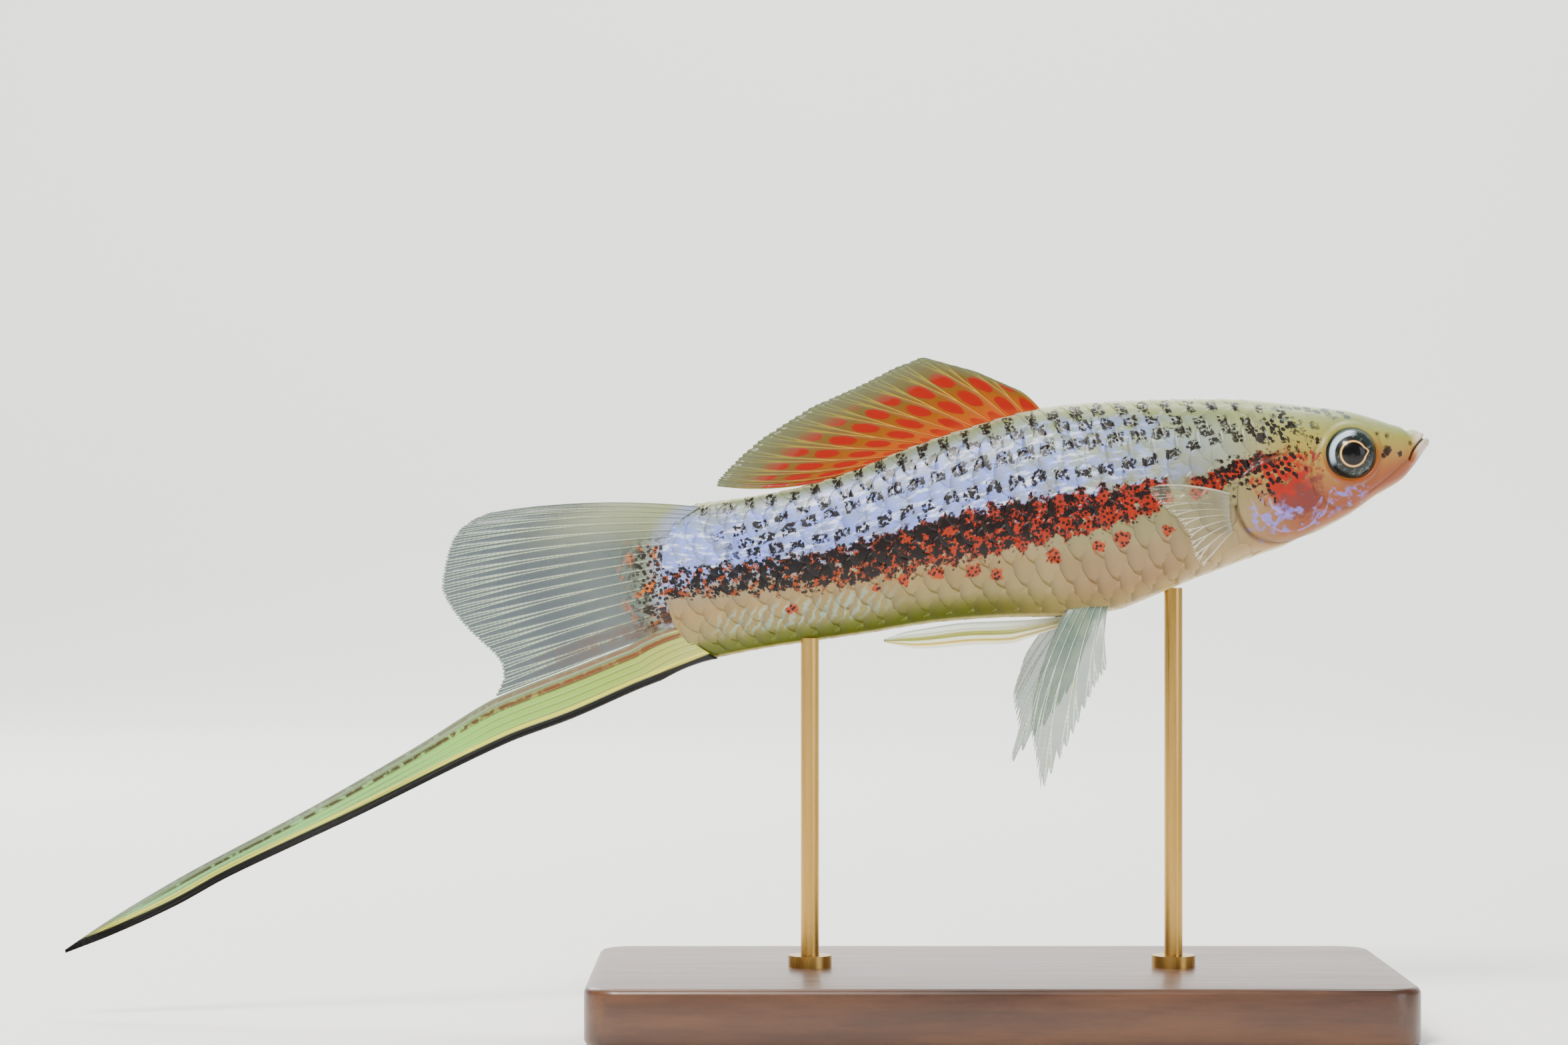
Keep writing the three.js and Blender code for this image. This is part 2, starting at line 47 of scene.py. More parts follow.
# Camera, lights and ground
# The fish is seen square from its right side, at its own height, over a pale table that
# curves up into a pale backdrop. Large soft lights stand in for a photo studio.
MM = 0.001
CAMERA_AT = (-18.26 * MM, -341.9 * MM, 43.72 * MM)
LENS_MM = 90
SENSOR_MM = 36
BOARD_LONG = 2.6
BOARD_WIDE = 4.0
BOARD_FRONT = -1.0
FLAT_PART = 1.5
SWEEP_RADIUS = 0.6
STRETCH = 6
# Name, place, what it aims at, width of its face, watts and colour
LIGHTS = [
    ("key_light", (-0.16, -0.34, 0.42), (-0.01, 0, 0.045), 0.14, 4.6, "#FFFAF2"),
    ("fill_light", (0.42, -0.36, 0.14), (0, 0, 0.05), 0.26, 0.7, "#EFF4FF"),
    ("backdrop_light", (0, 0.45, 1.1), (0, 1.1, 0.3), 0.6, 20.0, "#FFFFFF"),
    ("rim_light", (-0.25, 0.35, 0.35), (-0.02, 0, 0.045), 0.25, 2.4, "#FFFFFF"),
]


def linear(code):
    """The linear colour of a #RRGGBB code."""
    parts = [int(code[i : i + 2], 16) / 255 for i in (1, 3, 5)]
    return [c / 12.92 if c <= 0.04045 else ((c + 0.055) / 1.055) ** 2.4 for c in parts] + [1.0]


# The helpers below mix paint. Each adds a shader node to tree, the node tree of the material
# that was begun last, and gives back what comes out of that node.
def material(name):
    made = bpy.data.materials.new(name)
    made.use_nodes = True
    return made, made.node_tree, made.node_tree.nodes["Principled BSDF"]


def fill(node, values):
    """Set inputs of a node, each to a number, a colour code or the output of another node."""
    for socket, value in values.items():
        if isinstance(value, bpy.types.NodeSocket):
            tree.links.new(value, node.inputs[socket])
        else:
            node.inputs[socket].default_value = linear(value) if isinstance(value, str) else value


def add(kind, values=None, **settings):
    made = tree.nodes.new(kind)
    for key, value in settings.items():
        setattr(made, key, value)
    fill(made, values or {})
    return made


def calc(operation, *values):
    return add("ShaderNodeMath", dict(enumerate(values)), operation=operation).outputs[0]


def chain(operation, values):
    total = values[0]
    for value in values[1:]:
        total = calc(operation, total, value)
    return total


def times(*values):
    return chain("MULTIPLY", values)


def larger(*values):
    return chain("MAXIMUM", values)


def plus(a, b):
    return calc("ADD", a, b)


def minus(a, b):
    return calc("SUBTRACT", a, b)


def ratio(a, b):
    return calc("DIVIDE", a, b)


def hypotenuse(a, b):
    return calc("SQRT", plus(times(a, a), times(b, b)))


def rise(value, low, high, start=0.0, end=1.0):
    """A soft step from start to end while value goes from low to high."""
    values = {"Value": value, "From Min": low, "From Max": high, "To Min": start, "To Max": end}
    return add("ShaderNodeMapRange", values, interpolation_type="SMOOTHSTEP").outputs[0]


def band(value, a, b, c, d):
    """1 from b to c, falling softly to 0 at a and at d."""
    return times(rise(value, a, b), rise(value, c, d, 1.0, 0.0))


def paint(under, over, *shares):
    """One colour over another, as strong as the product of the shares."""
    values = {0: times(*shares), 6: under, 7: over}
    return add("ShaderNodeMix", values, data_type="RGBA").outputs[2]


def ramp(value, stops):
    made = add("ShaderNodeValToRGB", {"Fac": value})
    line = made.color_ramp
    while len(line.elements) < len(stops):
        line.elements.new(0.5)
    for element, (place, code) in zip(line.elements, stops):
        element.position = place
        element.color = linear(code)
    return made.outputs["Color"]


def moved(place, by):
    return add("ShaderNodeVectorMath", {0: place, 1: by}, operation="ADD").outputs[0]


def stretched(place, by):
    return add("ShaderNodeVectorMath", {0: place, 1: by}, operation="MULTIPLY").outputs[0]


def noise(place, scale, detail=2.0, rough=0.5):
    values = {"Vector": place, "Scale": scale, "Detail": detail, "Roughness": rough}
    return add("ShaderNodeTexNoise", values).outputs["Fac"]


def cells(place, scale):
    values = {"Vector": place, "Scale": scale}
    return add("ShaderNodeTexVoronoi", values, feature="F1", voronoi_dimensions="2D").outputs[0]


def bump(surface, height, distance, strength):
    values = {"Height": height, "Distance": distance, "Strength": strength}
    tree.links.new(add("ShaderNodeBump", values).outputs[0], surface.inputs["Normal"])


view = bpy.data.cameras.new("camera")
view.lens = LENS_MM
view.sensor_width = SENSOR_MM
view.clip_start = 0.01
camera = bpy.data.objects.new("camera", view)
bpy.context.collection.objects.link(camera)
camera.location = CAMERA_AT
camera.rotation_euler = (math.pi / 2, 0, 0)
bpy.context.scene.camera = camera

# One sheet of pale board: flat under the stand, then swept up behind it
bpy.ops.mesh.primitive_grid_add(x_subdivisions=2, y_subdivisions=48, size=1)
ground = bpy.context.object
ground.name = "ground"
for vertex in ground.data.vertices:
    run = (vertex.co.y + 0.5) * BOARD_LONG
    x = vertex.co.x * BOARD_WIDE
    if run < FLAT_PART:
        vertex.co = (x, run + BOARD_FRONT, 0)
    else:
        turn = min((run - FLAT_PART) / SWEEP_RADIUS, math.pi / 2)
        over = max(run - FLAT_PART - SWEEP_RADIUS * math.pi / 2, 0)
        y = FLAT_PART + BOARD_FRONT + SWEEP_RADIUS * math.sin(turn)
        vertex.co = (x, y, SWEEP_RADIUS * (1 - math.cos(turn)) + over * STRETCH)
bpy.ops.object.shade_smooth()
board, tree, surface = material("matt_painted_board")
shade = noise(add("ShaderNodeTexCoord").outputs["Object"], 3.0, 3.0)
board_white = ramp(shade, [(0.3, "#F4F4F1"), (0.7, "#F8F8F5")])
fill(surface, {"Base Color": board_white, "Roughness": 0.75})
ground.data.materials.append(board)

for name, place, aim, size, watts, code in LIGHTS:
    lamp = bpy.data.lights.new(name, "AREA")
    lamp.energy = watts
    lamp.size = size
    lamp.color = linear(code)[:3]
    made = bpy.data.objects.new(name, lamp)
    bpy.context.collection.objects.link(made)
    made.location = place
    made.rotation_euler = (Vector(aim) - Vector(place)).to_track_quat("-Z", "Y").to_euler()
world = bpy.data.worlds.new("studio")
world.use_nodes = True
sky = world.node_tree.nodes["Background"]
sky.inputs["Color"].default_value = linear("#E8ECF0")
sky.inputs["Strength"].default_value = 0.42
bpy.context.scene.world = world


# Skin
# One unbroken skin over head, jaw, gill covers, trunk and tail: soft tissue drawn over the
# skull, with rolled lips, a slit mouth, nostril pits, round orbits and a flap over the gills.
# It is drawn in the fish's own frame, u from the snout back, v up, w to its left, in mm.
TILT = math.radians(11)
SNOUT_X = 37.73
SNOUT_Z = 50.58
TAIL_SWAY = 0.00045
SWAY_START = 40
TOP_LINE = [
    (0, 0.45), (0.4, 1.09), (1.1, 1.52), (1.6, 1.49), (2.0, 1.9), (3, 2.42), (4.1, 3.05),
    (6.2, 4.1), (8.5, 4.85), (11.8, 5.9), (15.2, 6.9), (18.6, 7.62), (24.3, 8.6), (30.1, 9.35),
    (33.5, 9.5), (39, 9.05), (44.5, 8.3), (49.5, 7.3), (54.3, 6.75), (60.2, 6.8), (68, 7.1),
]
BOTTOM_LINE = [
    (0, -0.25), (0.7, -0.95), (1.4, -1.62), (2.8, -2.7), (5.4, -3.68), (8, -4.9), (10.5, -5.65),
    (14.2, -6.45), (17.9, -7.05), (22.8, -7.9), (26.5, -8.68), (29.3, -9.15), (33.6, -8.86),
    (39.4, -7.86), (45.2, -7.2), (51.1, -7.0), (59.9, -6.6), (68, -6.6),
]
HALF_WIDTH = [
    (0, 0.75), (0.5, 1.35), (1.5, 1.85), (3, 2.4), (5, 2.95), (8, 3.6), (11, 4.1), (15, 4.55),
    (21, 4.75), (28, 4.6), (36, 3.8), (45, 2.85), (55, 2.05), (63, 1.35), (68, 0.85),
]
WIDEST_AT = [
    (0, 0.15), (4, -0.1), (9, -0.5), (16, -1.2), (26, -1.2), (36, -0.5), (50, 0.2), (68, 0.2),
]
ROUND_TOP = [(0, 2.4), (8, 2.5), (16, 2.1), (30, 1.9), (50, 1.85), (68, 2.2)]
ROUND_BOTTOM = [(0, 2.2), (10, 2.1), (22, 2.2), (34, 2.0), (50, 1.9), (68, 2.2)]
BODY_END = [
    (-12, 64.4), (-6.6, 64.8), (-5, 66.4), (-3, 67.2), (-0.5, 67.5), (2, 67.3), (4, 66.8),
    (5.9, 65.6), (7.0, 63.5), (12, 63.2),
]
LAST = 67.5
ROOT_FROM = 58


def through(points):
    """A smooth curve through points, as a function."""
    xs = np.array([p[0] for p in points], float)
    ys = np.array([p[1] for p in points], float)
    lows = np.maximum(np.arange(len(xs)) - 1, 0)
    highs = np.minimum(np.arange(len(xs)) + 1, len(xs) - 1)
    slopes = (ys[highs] - ys[lows]) / (xs[highs] - xs[lows])

    def value(x):
        x = np.clip(np.asarray(x, float), xs[0], xs[-1])
        i = np.clip(np.searchsorted(xs, x) - 1, 0, len(xs) - 2)
        h = xs[i + 1] - xs[i]
        t = (x - xs[i]) / h
        soft = t * t * (3 - 2 * t)
        m = t * (1 - t) ** 2 * slopes[i] * h - t * t * (1 - t) * slopes[i + 1] * h
        return ys[i] + (ys[i + 1] - ys[i]) * soft + m

    return value


top_line = through(TOP_LINE)
bottom_line = through(BOTTOM_LINE)
half_width = through(HALF_WIDTH)
widest_at = through(WIDEST_AT)
round_top = through(ROUND_TOP)
round_bottom = through(ROUND_BOTTOM)
END_V = np.array([p[0] for p in BODY_END], float)
END_U = np.array([p[1] for p in BODY_END], float)


def body_point(u, a):
    """The point of the plain body at station u and angle a, which turns from its left side up."""
    middle = widest_at(u)
    up = np.sin(a) >= 0
    n = np.where(up, round_top(u), round_bottom(u))
    reach = np.where(up, top_line(u), bottom_line(u)) - middle
    v = middle + np.abs(reach) * np.sign(np.sin(a)) * np.abs(np.sin(a)) ** (2 / n)
    w = half_width(u) * np.sign(np.cos(a)) * np.abs(np.cos(a)) ** (2 / n)
    rear_edge = np.interp(v, END_V, END_U) - ROOT_FROM
    drawn = np.maximum(u - ROOT_FROM, 0) * rear_edge / (LAST - ROOT_FROM)
    return np.stack([np.minimum(u, ROOT_FROM) + drawn, v, w], axis=-1)


def body_normal(u, a):
    """The direction straight out of the plain body at station u and angle a."""
    e = 0.02
    along = body_point(u + e, a) - body_point(np.maximum(u - e, 0), a)
    around = body_point(u, a + e) - body_point(u, a - e)
    n = np.cross(around, along)
    out = n / np.maximum(np.linalg.norm(n, axis=-1, keepdims=True), 1e-9)
    centre = np.stack([u, widest_at(u), np.zeros_like(u)], axis=-1)
    turn = np.sign(np.sum(out * (body_point(u, a) - centre), axis=-1, keepdims=True))
    return out * np.where(turn == 0, 1, turn)


# Length of the skin from the back down to each angle, at each station
ARC_U = np.linspace(0, LAST, 90)
ARC_A = np.linspace(np.pi / 2, -np.pi / 2, 121)
arc_steps = np.diff(body_point(*np.meshgrid(ARC_U, ARC_A, indexing="ij")), axis=1)
arc_table = np.cumsum(np.linalg.norm(arc_steps, axis=-1), axis=1)
arc_table = np.concatenate([np.zeros((len(ARC_U), 1)), arc_table], axis=1)


def lookup(table, x, y):
    """The value of a table between its entries, at row x and column y."""
    x = np.clip(x, 0, table.shape[0] - 1.001)
    y = np.clip(y, 0, table.shape[1] - 1.001)
    i, j = x.astype(int), y.astype(int)
    s, t = x - i, y - j
    near = table[i, j] * (1 - t) + table[i, j + 1] * t
    far = table[i + 1, j] * (1 - t) + table[i + 1, j + 1] * t
    return near * (1 - s) + far * s


def wrap_at(u, a):
    """Place on the skin as laid flat: mm back from the snout and mm down from the back."""
    folded = np.arcsin(np.clip(np.sin(a), -1, 1))
    column = (np.pi / 2 - folded) / np.pi * (len(ARC_A) - 1)
    arc = lookup(arc_table, u / LAST * (len(ARC_U) - 1), column)
    return np.stack([u, arc, np.zeros_like(arc)], axis=-1)


def seat(points):
    """Points of the fish's own frame as they stand in the model, tail swayed and head up."""
    u, v, w = points[..., 0], points[..., 1], points[..., 2]
    w = w + TAIL_SWAY * np.maximum(u - SWAY_START, 0) ** 2
    x = SNOUT_X - u * math.cos(TILT) - v * math.sin(TILT)
    z = SNOUT_Z - u * math.sin(TILT) + v * math.cos(TILT)
    return np.stack([x, w, z], axis=-1) * MM


def path(points, count):
    """A smooth open line through points, as many short steps."""
    t = np.arange(len(points), dtype=float)
    fine = np.linspace(0, len(points) - 1, count)
    us = through(list(zip(t, [p[0] for p in points])))(fine)
    vs = through(list(zip(t, [p[1] for p in points])))(fine)
    return np.stack([us, vs], axis=-1)


def off_line(u, v, line):
    """Distance from each u, v to a line of short steps."""
    best = np.full(np.shape(u), 1e9)
    for (a, b), (c, d) in zip(line[:-1], line[1:]):
        length = max((c - a) ** 2 + (d - b) ** 2, 1e-9)
        t = np.clip(((u - a) * (c - a) + (v - b) * (d - b)) / length, 0, 1)
        best = np.minimum(best, np.hypot(u - a - t * (c - a), v - b - t * (d - b)))
    return best


def inside(u, v, ring):
    """Whether each u, v lies inside a closed ring of points."""
    odd = np.zeros(np.shape(u), bool)
    for (a, b), (c, d) in zip(ring, np.roll(ring, -1, axis=0)):
        cross = (b > v) != (d > v)
        at = a + (v - b) * (c - a) / (d - b if d != b else 1e-9)
        odd ^= cross & (u < at)
    return odd


def soft(value, low, high):
    """0 up to low and 1 from high on, with a soft step between."""
    t = np.clip((value - low) / (high - low), 0, 1)
    return t * t * (3 - 2 * t)


def ridge(distance, width):
    """1 at no distance, falling away within width."""
    return np.exp(-((distance / width) ** 2))


EYE_AT = (7.0, 0.46)
SOCKET_DEPTH = 1.5
SCALE_STEP = 1.95
COVER_FRONT = (10.2, 12.5)
COVER = path([
    (10.4, 1.0), (11.6, 1.55), (13.6, 1.6), (15.6, 1.25), (16.9, 0.5), (17.6, -1.0),
    (17.7, -2.9), (17.0, -4.7), (15.4, -5.7), (13.2, -6.0), (11.0, -5.5), (9.0, -4.9),
], 60)
COVER_CLOSES = (9.0, 1.0)
CHEEK = path([(10.0, 1.6), (10.75, -0.4), (10.6, -2.4), (9.6, -3.7), (7.6, -4.1)], 30)
PLATE = path([(14.6, -1.6), (13.6, -3.1), (12.2, -4.1), (10.9, -4.0)], 24)
MOUTH = path([(-0.3, 0.72), (0.3, 0.55), (0.95, 0.15), (1.55, -0.4), (1.9, -0.95)], 24)
JAW_FOLD = path([(1.9, -0.95), (2.9, -1.5), (4.3, -2.3), (6.0, -3.1)], 20)
NOSTRILS = [(3.5, 1.35, 0.2), (4.35, 1.7, 0.16)]
THROAT = [
    path([(7 + k, -4.4 - 0.55 * k), (10 + k, -5.4 - 0.2 * k), (14, -6.1)], 12) for k in (0, 1)
]
# Folds darkened by painted shadow: the line, how dark and how many mm wide
SHADOWED_FOLDS = [(CHEEK, 0.5, 0.13), (PLATE, 0.35, 0.12), (MOUTH, 0.9, 0.09), (JAW_FOLD, 0.45, 0.11)]


def relief(u, v):
    """How far the skin stands out of the plain body, in mm."""
    # The rim of the orbit, the groove round it and the socket
    eye = np.hypot(u - EYE_AT[0], v - EYE_AT[1])
    out = 0.12 * ridge(eye - 2.5, 0.2) - 0.07 * ridge(eye - 2.95, 0.2)
    out -= SOCKET_DEPTH * soft(eye, 2.32, 1.9)
    # The gill cover lies proud of a groove behind it and runs out in front
    edge = off_line(u, v, COVER)
    within = inside(u, v, np.concatenate([COVER, [COVER_CLOSES]]))
    behind = soft(u, *COVER_FRONT)
    proud = 0.16 * soft(edge, 0.0, 0.25) * behind
    out += np.where(within, proud, -0.26 * ridge(edge, 0.25) * behind)
    # Folds of the cheek and the lower plate of the cover
    out -= 0.13 * ridge(off_line(u, v, CHEEK), 0.16)
    out += 0.08 * ridge(off_line(u + 0.4, v, CHEEK), 0.25)
    out -= 0.08 * ridge(off_line(u, v, PLATE), 0.14)
    # Rolled lips on both sides of the slit of the mouth, and the fold of the jaw
    lips = off_line(u, v, MOUTH)
    front = soft(u, 4.0, 2.2)
    out += front * (0.13 * ridge(lips - 0.3, 0.2) - 0.42 * ridge(lips, 0.09))
    out -= 0.06 * ridge(off_line(u, v, JAW_FOLD), 0.15)
    for at_u, at_v, size in NOSTRILS:
        gap = np.hypot(u - at_u, v - at_v)
        out += 0.06 * ridge(gap - size * 1.5, size * 0.6) - 0.3 * ridge(gap, size)
    for line in THROAT:
        out -= 0.05 * ridge(off_line(u, v, line), 0.12)
    # The skin lies a little deeper where scales cover it
    return out - 0.12 * soft(u, 13.5, 17.5)


def crease_shade(u, v):
    """Painted shade on the skin, up to 1 in the bottom of a fold, slit or pit, 0 on open skin."""
    out = 0.75 * ridge(off_line(u, v, COVER), 0.17) * soft(u, *COVER_FRONT)
    for line, dark, width in SHADOWED_FOLDS:
        out = np.maximum(out, dark * ridge(off_line(u, v, line), width))
    for at_u, at_v, size in NOSTRILS:
        out = np.maximum(out, ridge(np.hypot(u - at_u, v - at_v), size))
    return out


def share_of_height(points):
    """0 at the keel of the belly and 1 at the top of the back."""
    u = points[..., 0]
    low = bottom_line(u)
    return (points[..., 1] - low) / (top_line(u) - low)


def closing(ring, middle, shares, depth):
    """Rings that shrink by shares towards a middle and close an open end in a low dome."""
    return [middle + (ring - middle) * k + [depth * math.sqrt(1 - k * k), 0, 0] for k in shares]


def tube_faces(rings, around):
    """Quads between rings of points that follow one another, and a face over each end."""
    made = []
    ring = np.arange(around)
    for r in range(rings - 1):
        a, b = r * around + ring, r * around + np.roll(ring, -1)
        made += np.stack([a, b, b + around, a + around], axis=-1).tolist()
    last = (rings - 1) * around
    return made + [list(range(around)), list(range(last, last + around))[::-1]]


# Paint finds its way by values that a mesh keeps at its points:
# fish is u, v, w in mm, and wrap the place on the skin as laid flat, in mm.
# lay is the share of the height, how near the edge of a scale, and a scale's luck, but on the
# skin the last is how much painted shade lies in a fold, slit or pit.
# fin is the number of the ray, mm from the root, and 1 on a ray or 0 between rays.
# where is the share of the way out from the root, and the share of the way across the fin.
def piece(name, points, faces, values):
    """A smooth mesh from points in the fish's own frame, with values kept at them."""
    mesh = bpy.data.meshes.new(name)
    mesh.from_pydata(seat(points).tolist(), [], faces)
    for key, kept in {"fish": points, **values}.items():
        layer = mesh.attributes.new(key, "FLOAT_VECTOR", "POINT")
        layer.data.foreach_set("vector", np.asarray(kept, np.float32).reshape(-1))
    made = bpy.data.objects.new(name, mesh)
    bpy.context.collection.objects.link(made)
    bpy.ops.object.select_all(action="DESELECT")
    made.select_set(True)
    bpy.context.view_layer.objects.active = made
    bpy.ops.object.mode_set(mode="EDIT")
    bpy.ops.mesh.select_all(action="SELECT")
    bpy.ops.mesh.normals_make_consistent(inside=False)
    bpy.ops.object.mode_set(mode="OBJECT")
    bpy.ops.object.shade_smooth()
    made.select_set(False)
    return made


AROUND = 208
NOSE_RINGS = (0.15, 0.45, 0.7, 0.9)
NOSE_DOME = 0.22
TAIL_RINGS = (0.85, 0.55, 0.2)
TAIL_DOME = 0.35
stations = np.concatenate([
    np.linspace(0, 5, 66), np.linspace(5.1, 18.4, 126), np.linspace(18.7, 64, 110),
    np.linspace(64.2, LAST, 14),
])
angles = np.arange(AROUND) / AROUND * 2 * np.pi
U, A = np.meshgrid(stations, angles, indexing="ij")
shell = body_point(U, A)
shell = shell + body_normal(U, A) * relief(shell[..., 0], shell[..., 1])[..., None]
wrap = wrap_at(U, A)
wrap = [wrap[:1]] * len(NOSE_RINGS) + [wrap] + [wrap[-1:]] * len(TAIL_RINGS)
nose = closing(shell[0], shell[0].mean(axis=0), NOSE_RINGS, -NOSE_DOME)
rear = closing(shell[-1], shell[-1] * [1, 1, 0], TAIL_RINGS, TAIL_DOME)
shell = np.concatenate([nose, shell, rear])
flat = shell.reshape(-1, 3)
crease_shading = crease_shade(flat[:, 0], flat[:, 1])
skin = piece("skin", flat, tube_faces(len(shell), AROUND), {
    "lay": np.stack([share_of_height(flat), np.zeros(len(flat)), crease_shading], axis=-1),
    "wrap": np.concatenate(wrap).reshape(-1, 3),
})


# Painted fish skin, satin, in cream and lavender with painted sheen and glints, painted shade in
# its folds, rows of small dark spots and a broken red-brown stripe. Every mark is placed by u,
# v, w, by its share of the body's height, or by its place on the skin as laid flat.
TURN = 6.2832
CURVE_SPAN = 70.0


def value_of(name):
    return add("ShaderNodeAttribute", attribute_name=name).outputs["Vector"]


def split(vector):
    return add("ShaderNodeSeparateXYZ", {0: vector}).outputs


def spots(place, scale, size, seed=0.0):
    """Round dots, one to each cell of an uneven net."""
    return rise(cells(moved(place, (seed, seed * 0.7, 0)), scale), size, size * 0.76)


def reach_of(u, v, at, size=(1.0, 1.0)):
    """Distance from a point, counted in the two sizes."""
    return hypotenuse(ratio(minus(u, at[0]), size[0]), ratio(minus(v, at[1]), size[1]))


def disc(u, v, at, size, soft_edge=0.6):
    return rise(reach_of(u, v, at, size), 1.0, soft_edge)


def arc(u, v, at, radius, width):
    off = calc("ABSOLUTE", minus(reach_of(u, v, at), radius))
    return rise(off, width, width * 0.3)


def line_at(u, points):
    """The height at u of a curve through points."""
    made = add("ShaderNodeFloatCurve", {"Value": ratio(u, CURVE_SPAN)})
    curve = made.mapping.curves[0]
    curve.points[0].location = (0, points[0][1])
    curve.points[1].location = (1, points[-1][1])
    for x, y in points:
        curve.points.new(x / CURVE_SPAN, y)
    made.mapping.update()
    return made.outputs[0]


def push(value, place, scale, amount, seed=0.0):
    """A value moved up and down by soft noise, so that an edge drawn with it wavers."""
    wave = minus(noise(moved(place, (seed, seed, seed)), scale, 3.0, 0.6), 0.5)
    return plus(value, times(wave, amount))


def row_of_dots(u, h, wrap, centre, width, gap, seed, reach):
    """Dots along one row of scales, in clumps, between the stations of reach."""
    off = calc("ABSOLUTE", minus(h, line_at(u, centre)))
    near = rise(push(off, wrap, 0.9, 0.09, seed), width, width * 0.7)
    beat = calc("SINE", plus(times(u, TURN / SCALE_STEP), seed))
    sparse = plus(beat, rise(u, 9, 24, -0.75, 0.0))
    clumps = rise(push(sparse, wrap, 0.7, 3.0, seed + 4), gap - 0.35, gap + 0.1)
    blots = rise(noise(moved(wrap, (seed, seed, 0)), 1.7, 4.0, 0.75), 0.47, 0.51)
    dots = larger(spots(wrap, 2.3, 0.36, seed), blots)
    return times(near, clumps, dots, band(u, *reach))


# Colours from keel to back, behind the middle of the body, in front of it and on the head
REAR_COLOURS = [
    (0.0, "#777A30"), (0.08, "#8A8A48"), (0.16, "#AAA078"), (0.30, "#B09C76"), (0.42, "#ACA088"),
    (0.60, "#A2ACD0"), (0.80, "#A9B5D4"), (1.0, "#98A07A"),
]
FORE_COLOURS = [
    (0.0, "#D2BE94"), (0.14, "#B8A684"), (0.34, "#A8A080"), (0.50, "#A09E7C"), (0.64, "#A7AC9E"),
    (0.78, "#AAB3A2"), (0.90, "#9DA67C"), (1.0, "#B4BA8E"),
]
HEAD_COLOURS = [
    (0.0, "#C0985C"), (0.10, "#AE6C40"), (0.28, "#AE7A4E"), (0.45, "#B2935A"), (0.62, "#B2A262"),
    (0.78, "#B2AE72"), (0.90, "#B0B58C"), (1.0, "#C0C6A4"),
]
# Rows of dots: middle line, half width, gaps, seed, and the stations where they fade in and out
DOT_ROWS = [
    ([(8, 0.93), (20, 0.95), (33, 0.955), (48, 0.955), (64, 0.95)],
     0.038, 0.3, 0.4, (7, 9, 63, 65)),
    ([(8, 0.82), (20, 0.87), (33, 0.895), (46, 0.89), (54, 0.85), (62, 0.78)],
     0.030, -0.1, 2.1, (8, 11, 61, 64)),
    ([(8, 0.78), (22, 0.81), (33, 0.805), (43, 0.795), (52, 0.79), (60, 0.70)],
     0.036, -0.5, 3.3, (10, 12, 60, 63)),
    ([(8, 0.70), (18, 0.745), (24, 0.68), (35, 0.675), (46, 0.655), (58, 0.64)],
     0.034, -0.3, 5.2, (10, 13, 60, 63)),
]
STRIPE_MIDDLE = [
    (10, 0.60), (16, 0.57), (20, 0.50), (26, 0.495), (32, 0.485), (40, 0.455), (50, 0.445),
    (58, 0.47), (68, 0.52),
]
STRIPE_WIDTH = [
    (10, 0.055), (20, 0.055), (24, 0.075), (32, 0.10), (42, 0.125), (54, 0.115), (62, 0.10),
    (68, 0.09),
]
CLOT_LIMIT = [(10, 0.50), (24, 0.525), (36, 0.485), (50, 0.455), (60, 0.47), (68, 0.52)]
# Marks of the side and the face: u and v of the middle, and the size or sizes, in mm
RED_SPOTS = [
    ((24.0, -3.0), 0.62), ((28.0, -3.0), 0.85), ((30.0, -3.2), 0.7), ((34.0, -3.4), 0.8),
    ((39.0, -4.0), 0.7), ((41.0, -3.3), 0.75), ((44.2, -2.9), 0.7), ((47.0, -2.9), 0.6),
    ((49.5, -3.2), 0.5), ((57.0, -3.6), 0.55),
]
PECKED_PATCHES = [
    ((16.6, 0.6), (3.0, 1.4)), ((13.6, 0.6), (2.8, 1.5)), ((14.6, -1.2), (0.8, 1.2)),
    ((10.0, 1.6), (0.9, 1.0)), ((13.0, 3.9), (2.2, 1.5)),
]
LILAC_PATCHES = [((15.2, -3.6), (2.4, 1.9)), ((8.3, -2.9), (2.6, 1.0)), ((12.2, -3.9), (2.8, 0.9))]
LILAC_ARCS = [((12.4, -1.5), 2.5, 0.18), ((12.9, -1.7), 3.5, 0.13)]
SNOUT_SPOTS = [
    ((3.85, 0.1), (0.48, 0.55)), ((4.35, -0.25), (0.25, 0.3)), ((2.75, -0.35), (0.28, 0.28)),
]
PAINT_DEPTH = 1.6


